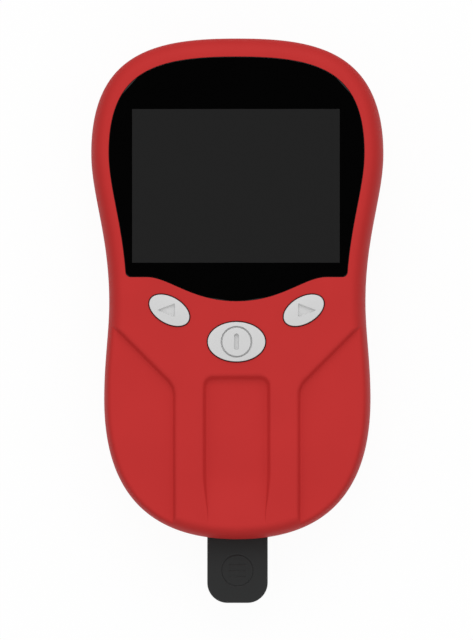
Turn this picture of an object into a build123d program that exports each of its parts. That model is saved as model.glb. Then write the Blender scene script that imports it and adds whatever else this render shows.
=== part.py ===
from build123d import *
import os

# Handheld glycated hemoglobin meter with a sliding strip tray.
# It lies on its back: +Z is up through the screen, +Y points to the head end, the tray slides out
# along -Y. Working heights are measured from the surface it rests on, and working lengths from
# the tail end of the body. At the end every piece moves so that Y = 0 is the middle of the
# overall length. All sizes are in millimetres.

# Screen and window
screen_width = 57.6
screen_length = 43.2
screen_margin = 0.7
window_inset = 5.0
window_corner = 1.4
window_level_half = 25.0
window_dip = 6.7
window_dip_reach = 6.25
window_dip_bottom_reach = 12.55
lens_thickness = 1.3
lens_set_down = 0.1
lens_bevel = 0.2
lens_clearance = 0.15
gasket_thickness = 0.2
gasket_inset = 0.4

# Places along the length, each from the one before it
power_key_y = 54.8
arrow_key_rise = 8.75
window_foot_rise = 9.2
screen_foot_rise = 3.5
screen_top_border = 19.65

# Half widths of the outline, from the edge of the screen
head_border = 11.8
waist_border = 6.8
hip_border = 8.2

# Where the outline is widest and narrowest, and how far its curves reach
head_rise = 9.5
waist_drop = 6.9
hip_y = 38.95
crown_reach = 20.1
head_reach_up = 29.4
head_reach_down = 11.8
waist_reach_up = 18.8
waist_reach_down = 8.3
hip_reach_up = 10.9
hip_reach_down = 24.2
tail_reach = 26.3

# Shells
wall = 2.2
ledge_thickness = 2.0
rim_radius = 6.0
lip_height = 1.2
lip_clearance = 0.15
seam_gap = 0.2

# Sculpted lower half
wing_depth = 1.4
wing_wall_x = 18.3
wing_bend_drop = 12.8
wing_bend_radius = 5.5
wing_wall_slope = 50.0
recess_depth = 1.45
recess_half_width = 8.0
recess_top_drop = 11.4
recess_corner = 1.5
recess_wall_slope = 56.0

# Keys
arrow_key_x = 18.73
arrow_key_length = 12.26
arrow_key_width = 7.3
arrow_key_tilt = 30.0
power_key_length = 16.0
power_key_width = 11.0
key_gap = 0.3
key_proud = 0.9
key_travel = 0.8
key_edge = 0.5
key_flange_width = 0.9
key_flange_thickness = 0.9
key_post_diameter = 3.0
key_post_length = 0.3
symbol_depth = 0.15
arrow_tip = 3.64
arrow_base = 1.58
arrow_half_height = 1.98
power_ring_radius = 4.15
power_ring_width = 0.35
power_bar_width = 1.35
power_bar_length = 4.6
switch_size = 4.6
switch_bore = 2.8
switch_pin_diameter = 2.2
switch_pin_depth = 0.9

# Display module and main board
panel_side_border = 1.95
panel_end_border = 2.65
panel_thickness = 3.0
foam_thickness = 0.4
foam_bar = 1.1
frame_thickness = 0.8
frame_overhang = 0.5
frame_bar = 9.0
board_thickness = 1.6
board_room = 2.3
board_inset = 4.8
board_key_margin = 3.45
board_post_diameter = 4.4
board_post_head_x = 11.0
board_post_waist_x = 28.0
board_post_gap = 5.55
board_post_key_rise = 2.7
ribbon_width = 12.0
ribbon_thickness = 0.2
connector_height = 1.4
connector_depth = 3.0
connector_gap = 3.1
connector_margin = 1.0
ribbon_lead = 1.0

# Chips and small parts on the board
processor_size = 12.0
processor_height = 1.4
memory_width = 6.0
memory_length = 8.0
memory_height = 1.0
chip_x = 9.0
chip_rise = 11.0
small_part_length = 3.2
small_part_width = 1.6
small_part_height = 1.0
small_part_pitch = 6.0
small_parts_in_row = 8
buzzer_diameter = 12.0
buzzer_height = 3.0
buzzer_edge = 4.3
buzzer_rise = 9.0
sound_hole_diameter = 1.4
sound_hole_pitch = 3.0

# Small screws: thread, clearance hole and head
board_screw_diameter = 1.9
board_screw_length = 5.0
board_head_diameter = 3.6
board_head_height = 1.2
screw_hole_clearance = 0.4
thread_clearance = 0.1

# Case screws and their bosses
case_screw_diameter = 2.5
case_head_diameter = 4.4
case_head_height = 1.8
case_screw_reach = 7.0
case_boss_diameter = 7.4
front_boss_diameter = 6.4
counterbore_clearance = 0.6
case_head_depth = 1.9
case_boss_head_gap = 5.2
case_boss_panel_gap = 5.3
case_boss_tail_x = 27.5
case_boss_tail_y = 27.5
cross_length = 2.6
cross_width = 0.6
cross_depth = 0.8

# Battery bay, three cells side by side, and its door
cell_diameter = 10.5
cell_length = 43.3
cell_nub_diameter = 3.8
cell_nub_height = 1.2
cell_edge = 0.5
cell_spacing = 0.4
cell_clearance = 0.3
bay_wall = 1.2
bay_top_border = 13.0
contact_thickness = 0.4
contact_size = 8.0
spring_length = 4.6
spring_radius = 2.8
spring_wire = 0.6
spring_pitch = 1.5
door_thickness = 2.0
door_margin = 3.2
door_gap = 0.3
door_corner = 2.0
door_foam_thickness = 0.6
door_foam_length = 30.0
door_foam_width = 20.0
hook_width = 6.0
hook_x = 10.9
hook_reach = 2.5
hook_root = 1.8
hook_lift = 0.3
hook_thickness = 1.0
hook_swing_room = 3.3
latch_width = 12.0
latch_length = 9.0
latch_slit = 0.8
rib_count = 5
rib_pitch = 1.2
rib_width = 0.6
rib_depth = 0.4

# Feet and the bare label recess on the back
foot_diameter = 8.0
foot_proud = 0.5
foot_recess = 0.8
foot_gap = 0.2
foot_door_gap = 3.2
foot_tail_x = 21.5
foot_tail_y = 15.0
label_width = 34.0
label_length = 17.0
label_depth = 0.3
label_tail_gap = 34.0

# Strip tray and its guide
tray_width = 16.8
tray_thickness = 3.2
tray_out = 17.8
tray_travel = 30.0
tray_corner = 5.6
tray_edge = 0.5
tray_tail = 8.5
tray_ear_width = 0.7
tray_ear_length = 5.0
tray_clearance = 0.3
strip_width = 5.6
strip_length = 28.0
strip_thickness = 0.5
strip_spot = 3.8
strip_clearance = 0.3
pocket_depth = 0.9
finger_scoop = 9.0
grip_ring_radius = 4.35
grip_ring_width = 0.45
grip_depth = 0.15
grip_rib_pitch = 1.7
grip_rib_length = 5.0
grip_rib_width = 0.6
grip_gap = 9.06
guide_wall = 1.4
guide_skin = 0.35
guide_end_gap = 1.6
guide_ear = 5.0
guide_ear_tail_gap = 4.9
guide_ear_head_gap = 5.0
guide_post_diameter = 5.0
guide_shelf_width = 12.0
guide_shelf_length = 8.5
leaf_width = 5.0
leaf_thickness = 0.3
leaf_slot_width = 6.0
leaf_slot_length = 24.0
leaf_foot = 3.5
tray_switch_width = 10.0
tray_switch_length = 6.0
tray_switch_height = 4.6
tray_lever_thickness = 0.5
tray_lever_gap = 2.0

# Optics over the tray
optics_width = 20.0
optics_length = 32.0
optics_height = 4.2
optics_board_thickness = 1.2
optics_headroom = 1.5
optics_board_gap = 6.3
optics_bore = 5.0
optics_bore_pitch = 7.5
optics_screw_edge = 2.2
light_slot_width = 8.0
light_slot_length = 20.0
glass_overlap = 0.75
glass_thickness = 0.7
glass_clearance = 0.2
led_diameter = 3.0
led_flange = 3.8
led_length = 2.8
led_flange_thickness = 0.7
diode_diameter = 4.2
diode_height = 1.4
lens_seat_bore = 4.0
lens_seat_height = 0.3
detector_lens_diameter = 4.8
detector_lens_edge = 0.5
detector_lens_bulge = 0.7
flex_x = 3.0
flex_width = 6.0

# How far a cut runs past the faces that it opens
past = 1.0

# Data port at the head end
port_width = 9.0
port_height = 3.2
port_length = 7.4
port_wall = 0.35
port_set_in = 0.4
port_clearance = 0.3
port_corner = 1.2
tongue_thickness = 0.7
tongue_width = 6.6
tongue_length = 5.0

# Heights, from the resting surface up
back_z = foot_proud
door_top_z = back_z + door_thickness
cell_bottom_z = door_top_z + door_foam_thickness + cell_clearance
cell_z = cell_bottom_z + cell_diameter / 2
bay_ceiling_z = cell_bottom_z + cell_diameter + cell_clearance
board_bottom_z = bay_ceiling_z + bay_wall + board_room
board_top_z = board_bottom_z + board_thickness
panel_bottom_z = board_top_z + frame_thickness
panel_top_z = panel_bottom_z + panel_thickness
ceiling_z = panel_top_z + foam_thickness
ledge_z = ceiling_z + ledge_thickness
lens_bottom_z = ledge_z + gasket_thickness
lens_top_z = lens_bottom_z + lens_thickness
front_z = lens_top_z + lens_set_down

# Heights of the keys, from the shell's ceiling down
key_flange_top_z = ceiling_z - key_gap
key_flange_bottom_z = key_flange_top_z - key_flange_thickness
key_post_bottom_z = key_flange_bottom_z - key_post_length
switch_top_z = key_post_bottom_z - key_travel - seam_gap / 2

# Heights of the optics and the tray, from the shell's ceiling down
optics_board_top_z = ceiling_z - optics_headroom
optics_top_z = optics_board_top_z - optics_board_thickness
guide_top_z = optics_top_z - optics_height
guide_roof_z = guide_top_z - guide_wall
tray_top_z = guide_roof_z - tray_clearance
tray_bottom_z = tray_top_z - tray_thickness
guide_floor_z = tray_bottom_z - tray_clearance
guide_bottom_z = guide_floor_z - guide_wall
parting_z = (tray_top_z + tray_bottom_z) / 2
floor_z = back_z + wall

# Lengths, from the tail end of the body
arrow_key_y = power_key_y + arrow_key_rise
window_foot_y = arrow_key_y + window_foot_rise
screen_y = window_foot_y + screen_foot_rise + screen_length / 2
top_y = screen_y + screen_length / 2 + screen_top_border
head_y = screen_y + head_rise
waist_y = window_foot_y - waist_drop
panel_width = screen_width + 2 * panel_side_border
panel_length = screen_length + 2 * panel_end_border
panel_head_y = screen_y + panel_length / 2
panel_tail_y = screen_y - panel_length / 2
board_tail_y = power_key_y - power_key_width / 2 - board_key_margin
optics_y = board_tail_y - optics_board_gap - optics_length / 2
tray_head_y = optics_y + strip_length / 2 + tray_tail
guide_tail_y = wall + guide_end_gap
guide_head_y = tray_head_y + tray_lever_gap
tray_ear_y = tray_head_y - tray_ear_length
bay_length = cell_length + cell_nub_height + spring_length + 2 * (contact_thickness + cell_clearance)
bay_head_y = top_y - bay_top_border
bay_tail_y = bay_head_y - bay_length
door_head_y = bay_head_y + door_margin
door_tail_y = bay_tail_y - door_margin
door_hinge_y = door_head_y - door_thickness / 2

# Widths
head_half = screen_width / 2 + head_border
waist_half = screen_width / 2 + waist_border
hip_half = screen_width / 2 + hip_border
bay_half = (3 * cell_diameter + 2 * cell_spacing) / 2 + cell_clearance
door_half = bay_half + door_margin
cell_pitch = cell_diameter + cell_spacing
tray_half = tray_width / 2
guide_inner_half = tray_half + tray_ear_width + tray_clearance
guide_half = guide_inner_half + guide_wall
far = 2 * top_y

# Holes for the small screws
board_screw_hole = board_screw_diameter + screw_hole_clearance
board_screw_pilot = board_screw_diameter + thread_clearance

case_boss_places = [
    (side * x, y)
    for side in (-1, 1)
    for x, y in (
        (bay_half + bay_wall + case_boss_head_gap, panel_head_y + case_boss_panel_gap),
        (case_boss_tail_x, case_boss_tail_y),
    )
]
board_post_places = [
    (side * x, y)
    for side in (-1, 1)
    for x, y in (
        (board_post_head_x, panel_head_y + board_post_gap),
        (board_post_waist_x, power_key_y + board_post_key_rise),
    )
]
foot_places = [
    (side * x, y)
    for side in (-1, 1)
    for x, y in (
        (door_half + foot_diameter / 2 + foot_door_gap, head_y),
        (foot_tail_x, foot_tail_y),
    )
]
guide_ear_x = guide_half + guide_ear / 2
guide_ear_places = [
    (side * guide_ear_x, y)
    for side in (-1, 1)
    for y in (guide_tail_y + guide_ear_tail_gap, guide_head_y - guide_ear_head_gap)
]
optics_screw_ys = [
    optics_y - optics_length / 2 + optics_screw_edge,
    optics_y + optics_length / 2 - optics_screw_edge,
]
key_places = {
    "left": (-arrow_key_x, arrow_key_y),
    "right": (arrow_key_x, arrow_key_y),
    "power": (0.0, power_key_y),
}
buzzer_place = (waist_half - board_inset - buzzer_edge, bay_tail_y + buzzer_rise)


def block(x0, x1, y0, y1, z0, z1):
    """A box between two corners."""
    middle = Pos((x0 + x1) / 2, (y0 + y1) / 2, (z0 + z1) / 2)
    return middle * Box(abs(x1 - x0), abs(y1 - y0), abs(z1 - z0))


def rod(place, z0, z1, diameter):
    """An upright cylinder."""
    return Pos(place[0], place[1], (z0 + z1) / 2) * Cylinder(diameter / 2, abs(z1 - z0))


def plate(face, z0, z1):
    """A flat face given a thickness between two heights."""
    return extrude(Pos(0, 0, z0) * face, z1 - z0)


def rounded(x0, x1, y0, y1, radius):
    """A flat rectangle with round corners."""
    middle = Pos((x0 + x1) / 2, (y0 + y1) / 2, 0)
    return middle * RectangleRounded(x1 - x0, y1 - y0, radius)


def both_sides(shape):
    """A shape and its mirror image across the middle plane."""
    return shape + mirror(shape, about=Plane.YZ)


def group(solids):
    """Separate solids kept in one node."""
    return Compound([piece for solid in solids for piece in solid.solids()])


def outline(inset=0.0):
    """The body's outline, drawn in by an inset."""
    head = head_half, head_y
    waist = waist_half, waist_y
    hip = hip_half, hip_y
    right_half = Curve() + [
        Bezier((0, top_y), (crown_reach, top_y), (head_half, head_y + head_reach_up), head),
        Bezier(head, (head_half, head_y - head_reach_down),
               (waist_half, waist_y + waist_reach_up), waist),
        Bezier(waist, (waist_half, waist_y - waist_reach_down),
               (hip_half, hip_y + hip_reach_up), hip),
        Bezier(hip, (hip_half, hip_y - hip_reach_down), (tail_reach, 0), (0, 0)),
    ]
    face = make_face(right_half + mirror(right_half, about=Plane.YZ))
    return offset(face, amount=-inset).to_splines() if inset else face


def rim_band(outer_inset, inner_inset, z0, z1):
    """A band that follows the outline between two insets."""
    return plate(outline(outer_inset) - outline(inner_inset), z0, z1)


def rounded_body(inset, z0, z1, radius, round_top):
    """The outline as a solid, with its top or its bottom edge rounded."""
    solid = plate(outline(inset), z0, z1)
    ends = solid.faces().sort_by(Axis.Z)
    return fillet((ends[-1] if round_top else ends[0]).edges(), radius)


def ring_face(radius, width):
    """A flat ring, by its middle radius."""
    return Circle(radius + width / 2) - Circle(radius - width / 2)


def window_face(grow=0.0):
    """The window: the outline drawn in, above a foot that dips in the middle, grown by a gap."""
    foot = window_foot_y - grow
    dip = foot - window_dip
    level = window_level_half
    right = Curve() + [
        Bezier((0, dip), (window_dip_bottom_reach, dip), (level - window_dip_reach, foot), (level, foot)),
        Line((level, foot), (far, foot)),
        Line((far, foot), (far, far)),
        Line((far, far), (0, far)),
    ]
    face = outline(window_inset - grow) & make_face(right + mirror(right, about=Plane.YZ))
    low = face.vertices().filter_by(lambda v: abs(v.Y - foot) < window_corner and abs(v.X) > level)
    corners = [low.sort_by(Axis.X)[0], low.sort_by(Axis.X)[-1]]
    return fillet(corners, window_corner + grow)


def key_face(name, grow=0.0):
    """The oval of one key."""
    x, y = key_places[name]
    if name == "power":
        return Pos(x, y) * Ellipse(power_key_length / 2 + grow, power_key_width / 2 + grow)
    tilt = arrow_key_tilt if name == "right" else -arrow_key_tilt
    oval = Ellipse(arrow_key_length / 2 + grow, arrow_key_width / 2 + grow)
    return Pos(x, y) * Rot(0, 0, tilt) * oval


def wing_cut():
    """The lowered wings, beside the ridge that runs from the waist to the tail."""
    bend_y = power_key_y - wing_bend_drop
    corner = -wing_wall_x, bend_y
    left = make_face(Polyline(
        (-wing_wall_x, -far),
        corner,
        (-far, bend_y + far - wing_wall_x),
        (-far, -far),
        close=True,
    ))
    left = fillet(left.vertices().sort_by_distance((*corner, 0))[0], wing_bend_radius)
    floor = Pos(0, 0, front_z - wing_depth) * left
    return both_sides(extrude(floor, 2 * wing_depth, taper=-wing_wall_slope))


def recess_cut():
    """The shallow recess that runs down the middle of the ridge and out at the tail."""
    head = power_key_y - recess_top_drop
    face = make_face(Polyline(
        (-recess_half_width, -far),
        (-recess_half_width, head),
        (recess_half_width, head),
        (recess_half_width, -far),
        close=True,
    ))
    face = fillet(face.vertices().sort_by(Axis.Y)[-2:], recess_corner)
    return extrude(Pos(0, 0, front_z - recess_depth) * face, 2 * recess_depth, taper=-recess_wall_slope)


def tray_mouth():
    """The opening in the tail end that the tray slides through."""
    half = tray_half + tray_clearance
    return block(-half, half, -tray_out, wall + guide_end_gap,
                 tray_bottom_z - tray_clearance, tray_top_z + tray_clearance)


def port_mouth():
    """The opening in the head end for the data port."""
    half = port_width / 2 + port_clearance
    mouth = block(-half, half, top_y - wall - port_length, top_y + wall,
                  board_top_z - port_clearance, board_top_z + port_height + port_clearance)
    return fillet(mouth.edges().filter_by(Axis.Y), port_corner)


def screen_aperture(margin):
    """The screen's rectangle, a margin larger."""
    return Pos(0, screen_y) * Rectangle(screen_width + 2 * margin, screen_length + 2 * margin)


def front_shell():
    """The upper casing, with its window seat, key holes, bosses and board posts."""
    shell = rounded_body(0, parting_z + seam_gap / 2, front_z, rim_radius, True)
    shell -= wing_cut()
    shell -= recess_cut()
    shell -= rounded_body(wall, parting_z - wall, ceiling_z, rim_radius - wall, True)
    for place in case_boss_places:
        shell += rod(place, parting_z + seam_gap / 2, ceiling_z + wall / 2, front_boss_diameter)
    for place in board_post_places:
        shell += rod(place, board_top_z, ceiling_z + wall / 2, board_post_diameter)
    shell -= plate(window_face(lens_clearance), ledge_z, front_z + wall)
    shell -= plate(screen_aperture(screen_margin), ceiling_z - wall, front_z)
    for name in key_places:
        shell -= plate(key_face(name, key_gap), ceiling_z - wall, front_z + wall)
    for place in case_boss_places:
        pilot = case_screw_diameter + thread_clearance
        shell -= rod(place, parting_z, parting_z + case_screw_reach + thread_clearance, pilot)
    for place in board_post_places:
        pilot_z = board_bottom_z + board_screw_length + thread_clearance
        shell -= rod(place, board_top_z - wall, pilot_z, board_screw_pilot)
    rebate = rim_band(wall / 2 - lip_clearance, wall + lip_clearance,
                      parting_z, parting_z + lip_height + lip_clearance)
    return shell - rebate - tray_mouth() - port_mouth()


def bay_solid():
    """The battery bay's walls, and the wider rim that the door closes against."""
    half = door_half + bay_wall
    start_z = back_z + wall / 2
    rim = block(-half, half, door_tail_y - bay_wall, door_head_y + bay_wall, start_z, floor_z + bay_wall)
    half = bay_half + bay_wall
    return rim + block(-half, half, bay_tail_y - bay_wall, bay_head_y + bay_wall,
                       start_z, bay_ceiling_z + bay_wall)


def hook_slots():
    """The slots in the bay's head end that the door's hooks turn in."""
    half = hook_width / 2 + door_gap
    slots = [
        block(x - half, x + half, bay_head_y - contact_thickness, door_head_y + hook_reach + bay_wall,
              floor_z, floor_z + hook_swing_room)
        for x in (-hook_x, hook_x)
    ]
    return slots[0] + slots[1]


def door_face(head_y, grow=0.0):
    """The battery door's outline up to its head end: round corners at the tail end, grown by a gap."""
    length = head_y - door_tail_y + 2 * grow
    face = Pos(0, (door_tail_y + head_y) / 2) * Rectangle(2 * (door_half + grow), length)
    return fillet(face.vertices().sort_by(Axis.Y)[:2], door_corner + grow)


def sound_holes():
    """Five small holes under the buzzer."""
    x, y = buzzer_place
    places = [(x, y)]
    for step in (-sound_hole_pitch, sound_hole_pitch):
        places += [(x + step, y), (x, y + step)]
    return [rod(place, back_z - wall, floor_z + wall, sound_hole_diameter) for place in places]


def case_screw_seat(place):
    """The counterbore and the clearance hole of one case screw."""
    head = rod(place, back_z - wall, back_z + case_head_depth + case_head_height,
               case_head_diameter + counterbore_clearance)
    return head + rod(place, back_z, parting_z + wall, case_screw_diameter + screw_hole_clearance)


def back_shell():
    """The lower casing, with the battery bay, bosses and guide posts."""
    shell = rounded_body(0, back_z, parting_z - seam_gap / 2, rim_radius, False)
    shell -= rounded_body(wall, floor_z, parting_z + wall, rim_radius - wall, False)
    shell += rim_band(wall / 2, wall, parting_z - wall, parting_z + lip_height)
    shell += bay_solid()
    for place in case_boss_places:
        shell += rod(place, back_z + wall / 2, parting_z - seam_gap / 2, case_boss_diameter)
    for place in guide_ear_places:
        shell += rod(place, back_z + wall / 2, guide_bottom_z, guide_post_diameter)
    shell -= plate(door_face(door_head_y, door_gap), back_z - wall, floor_z)
    shell -= block(-bay_half, bay_half, bay_tail_y, bay_head_y, back_z, bay_ceiling_z)
    shell -= hook_slots()
    for place in case_boss_places:
        shell -= case_screw_seat(place)
    for place in guide_ear_places:
        depth = board_screw_length - guide_wall + thread_clearance
        shell -= rod(place, guide_bottom_z - depth, guide_bottom_z + wall, board_screw_pilot)
    for place in foot_places:
        shell -= rod(place, back_z - wall, back_z + foot_recess, foot_diameter + 2 * foot_gap)
    for hole in sound_holes():
        shell -= hole
    label_y = door_tail_y - label_tail_gap
    label = rounded(-label_width / 2, label_width / 2, label_y, label_y + label_length, door_corner)
    shell -= plate(label, back_z - wall, back_z + label_depth)
    return shell - tray_mouth()


def display_window():
    """The glossy window over the screen."""
    lens = plate(window_face(), lens_bottom_z, lens_top_z)
    return chamfer(lens.faces().sort_by(Axis.Z)[-1].edges(), lens_bevel)


def window_gasket():
    """The adhesive frame that holds the window to its ledge."""
    frame = window_face(-gasket_inset) - screen_aperture(screen_margin)
    return plate(frame, ledge_z, lens_bottom_z)


def panel_face(grow=0.0):
    """The display module's rectangle."""
    return Pos(0, screen_y) * Rectangle(panel_width + 2 * grow, panel_length + 2 * grow)


def display_panel():
    """The display module."""
    return plate(panel_face(), panel_bottom_z, panel_top_z)


def display_foam():
    """The foam frame between the display module and the casing."""
    frame = screen_aperture(screen_margin + foam_bar) - screen_aperture(screen_margin)
    return plate(frame, panel_top_z, ceiling_z)


def display_frame():
    """The plastic frame that spaces the display module off the main board."""
    opening = panel_face(frame_overhang - frame_bar)
    return plate(panel_face(frame_overhang) - opening, board_top_z, panel_bottom_z)


def ribbon(points, thickness, x0, x1):
    """A flat cable: its underside is a run of points, given as length and height."""
    upper = [(y, z + thickness) for y, z in reversed(points)]
    face = Plane.YZ * make_face(Polyline(*points, *upper, close=True))
    return extrude(Pos(x0, 0, 0) * face, x1 - x0)


def display_flex():
    """The flat cable from the display module to its connector."""
    low = board_top_z + connector_height / 2
    high = panel_bottom_z + panel_thickness / 2
    start = panel_tail_y
    end = panel_tail_y - connector_gap
    points = [(end, low), (end + ribbon_lead, low), (start - ribbon_lead, high), (start, high)]
    return ribbon(points, ribbon_thickness, -ribbon_width / 2, ribbon_width / 2)


def display_connector():
    """The connector that the display's cable plugs into."""
    half = ribbon_width / 2 + connector_margin
    end = panel_tail_y - connector_gap
    return block(-half, half, end - connector_depth, end, board_top_z, board_top_z + connector_height)


def main_board():
    """The main circuit board, from above the optics to the head end."""
    face = outline(board_inset) - Pos(0, board_tail_y - far / 2) * Rectangle(far, far)
    board = plate(face, board_bottom_z, board_top_z)
    for place in case_boss_places:
        notch = front_boss_diameter + 2 * screw_hole_clearance
        board -= rod(place, board_bottom_z - wall, board_top_z + wall, notch)
    for place in board_post_places:
        board -= rod(place, board_bottom_z - wall, board_top_z + wall, board_screw_hole)
    return board


def chip(x, y, width, length, height):
    """A flat package under the main board, with its pin-one dimple."""
    body = block(x - width / 2, x + width / 2, y - length / 2, y + length / 2,
                 board_bottom_z - height, board_bottom_z)
    corner = x - width / 2 + height, y - length / 2 + height
    dimple_z = board_bottom_z - height + symbol_depth
    return body - rod(corner, board_bottom_z - height - past, dimple_z, height / 2)


def processor():
    """The processor."""
    return chip(-chip_x, bay_tail_y + chip_rise, processor_size, processor_size, processor_height)


def memory_chip():
    """The memory chip."""
    return chip(chip_x, bay_tail_y + chip_rise, memory_width, memory_length, memory_height)


def board_components():
    """Two rows of small parts under the main board."""
    start = -small_part_pitch * (small_parts_in_row - 1) / 2
    parts = []
    for y in (power_key_y + board_post_key_rise, arrow_key_y):
        for count in range(small_parts_in_row):
            x = start + small_part_pitch * count
            parts.append(block(x - small_part_length / 2, x + small_part_length / 2,
                               y - small_part_width / 2, y + small_part_width / 2,
                               board_bottom_z - small_part_height, board_bottom_z))
    return group(parts)


def buzzer():
    """The round buzzer under the main board, with its sound hole."""
    bottom = board_bottom_z - buzzer_height
    return rod(buzzer_place, bottom, board_bottom_z, buzzer_diameter) - rod(
        buzzer_place, bottom - past, bottom + sound_hole_diameter, sound_hole_diameter)


def screw(place, seat_z, length, diameter, head_diameter, head_height, up):
    """A cross-head screw whose head sits on one side of its seat and whose thread runs the other."""
    way = 1 if up else -1
    head_z = seat_z - way * head_height
    body = rod(place, seat_z - way * head_height / 2, seat_z + way * length, diameter)
    body += rod(place, seat_z, head_z, head_diameter)
    x, y = place
    for half_x, half_y in ((cross_length / 2, cross_width / 2), (cross_width / 2, cross_length / 2)):
        body -= block(x - half_x, x + half_x, y - half_y, y + half_y,
                      head_z - way, head_z + way * min(cross_depth, head_height / 2))
    return body


def small_screw(place, seat_z, up, length=board_screw_length):
    """One of the small screws."""
    return screw(place, seat_z, length, board_screw_diameter, board_head_diameter, board_head_height, up)


def main_board_screws():
    """The screws that hold the main board to the front shell's posts."""
    return group([small_screw(place, board_bottom_z, True) for place in board_post_places])


def case_screws():
    """The screws that hold the two shells together."""
    seat = back_z + case_head_depth + case_head_height
    length = parting_z + case_screw_reach - seat
    return group([
        screw(place, seat, length, case_screw_diameter, case_head_diameter, case_head_height, True)
        for place in case_boss_places
    ])


def key_cap(name):
    """One key: an oval cap with a flange under the shell and a post over its switch."""
    top = front_z + key_proud
    cap = plate(key_face(name), key_flange_top_z, top)
    cap = fillet(cap.faces().sort_by(Axis.Z)[-1].edges(), key_edge)
    cap += plate(key_face(name, key_flange_width), key_flange_bottom_z, key_flange_top_z)
    cap += rod(key_places[name], key_post_bottom_z, key_flange_bottom_z, key_post_diameter)
    return cap - plate(key_symbol(name), top - symbol_depth, top + symbol_depth)


def key_symbol(name):
    """The plain sign that is sunk into a key."""
    x, y = key_places[name]
    if name == "power":
        sign = ring_face(power_ring_radius, power_ring_width)
        return Pos(x, y) * (sign + Rot(0, 0, 90) * SlotOverall(power_bar_length, power_bar_width))
    way = 1 if name == "right" else -1
    corners = (arrow_tip, 0), (-arrow_base, arrow_half_height), (-arrow_base, -arrow_half_height)
    return make_face(Polyline(*[(x + way * dx, y + dy) for dx, dy in corners], close=True))


def key_plunger(name):
    """The plunger of one key's switch, which moves with the key."""
    return rod(key_places[name], board_top_z + switch_pin_depth, key_post_bottom_z, switch_pin_diameter)


def key_switches():
    """The bodies of the three key switches."""
    half = switch_size / 2
    bodies = []
    for x, y in key_places.values():
        body = block(x - half, x + half, y - half, y + half, board_top_z, switch_top_z)
        bodies.append(body - rod((x, y), board_top_z, switch_top_z + past, switch_bore))
    return group(bodies)


def cell_ways():
    """The three cells' places across the bay, and which way each nub points."""
    return {"left": (-cell_pitch, 1), "middle": (0.0, -1), "right": (cell_pitch, 1)}


def cell(name):
    """One round cell, with its nub."""
    x, way = cell_ways()[name]
    plain = bay_tail_y if way > 0 else bay_head_y
    start = plain + way * (contact_thickness + spring_length + cell_clearance)
    lying = Rot(90, 0, 0)
    body = Pos(x, start + way * cell_length / 2, cell_z) * lying * Cylinder(cell_diameter / 2, cell_length)
    body = fillet(body.edges(), cell_edge)
    nub_y = start + way * (cell_length + cell_nub_height / 2)
    return body + Pos(x, nub_y, cell_z) * lying * Cylinder(cell_nub_diameter / 2, cell_nub_height)


def battery_contacts():
    """The contact plates at both ends of the bay."""
    plates = []
    for x, _ in cell_ways().values():
        for start in (bay_tail_y, bay_head_y - contact_thickness):
            plates.append(block(x - contact_size / 2, x + contact_size / 2, start, start + contact_thickness,
                                bay_ceiling_z - contact_size, bay_ceiling_z))
    return group(plates)


def battery_springs():
    """The coil springs behind the flat ends of the cells."""
    springs = []
    for x, way in cell_ways().values():
        plain = bay_tail_y if way > 0 else bay_head_y
        path = Helix(spring_pitch, spring_length - spring_wire, spring_radius - spring_wire / 2)
        coil = sweep(Plane(origin=path @ 0, z_dir=path % 0) * Circle(spring_wire / 2), path)
        start = plain + way * (contact_thickness + spring_wire / 2)
        springs.append(Pos(x, start, cell_z) * Rot(-90 * way, 0, 0) * coil)
    return group(springs)


def battery_door():
    """The battery door: a round head edge to turn on, two hooks, and a latch tongue at its tail end."""
    radius = door_thickness / 2
    door = plate(door_face(door_hinge_y), back_z, door_top_z)
    door += Pos(0, door_hinge_y, back_z + radius) * Rot(0, 90, 0) * Cylinder(radius, 2 * door_half)
    root_y = door_head_y - hook_root
    hook_z = floor_z + hook_lift
    for x in (-hook_x, hook_x):
        x0, x1 = x - hook_width / 2, x + hook_width / 2
        door += block(x0, x1, root_y, door_head_y, door_top_z - wall / 2, hook_z + hook_thickness)
        door += block(x0, x1, root_y, door_head_y + hook_reach, hook_z, hook_z + hook_thickness)
    for side in (-1, 1):
        x = side * (latch_width + latch_slit) / 2
        door -= block(x - latch_slit / 2, x + latch_slit / 2, door_tail_y - past, door_tail_y + latch_length,
                      back_z - past, door_top_z + past)
    for count in range(rib_count):
        y = door_tail_y + rib_pitch * (count + 1)
        half = latch_width / 2 - latch_slit
        door -= block(-half, half, y - rib_width / 2, y + rib_width / 2, back_z - past, back_z + rib_depth)
    return door


def door_foam():
    """The foam pad that keeps the cells from rattling."""
    middle = (bay_tail_y + bay_head_y) / 2
    face = rounded(-door_foam_width / 2, door_foam_width / 2,
                   middle - door_foam_length / 2, middle + door_foam_length / 2, door_corner)
    return plate(face, door_top_z, door_top_z + door_foam_thickness)


def rubber_feet():
    """The four rubber feet, set into the back shell."""
    return group([rod(place, 0, back_z + foot_recess, foot_diameter) for place in foot_places])


def tray_face():
    """The tray's plan: round corners at the tail end and two ears at the head end."""
    plan = Pos(0, (tray_head_y - tray_out) / 2) * Rectangle(tray_width, tray_head_y + tray_out)
    plan = fillet(plan.vertices().sort_by(Axis.Y)[:2], tray_corner)
    ears = Pos(0, tray_head_y - tray_ear_length / 2) * Rectangle(
        tray_width + 2 * tray_ear_width, tray_ear_length)
    return plan + ears


def tray_grip():
    """A ring with three short grooves in it, sunk into the tab for the fingertip."""
    middle = Pos(0, grip_gap - tray_out)
    grip = ring_face(grip_ring_radius, grip_ring_width)
    for step in (-1, 0, 1):
        grip += Pos(0, step * grip_rib_pitch) * SlotOverall(grip_rib_length, grip_rib_width)
    return plate(middle * grip, tray_top_z - grip_depth, tray_top_z + grip_depth)


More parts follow.
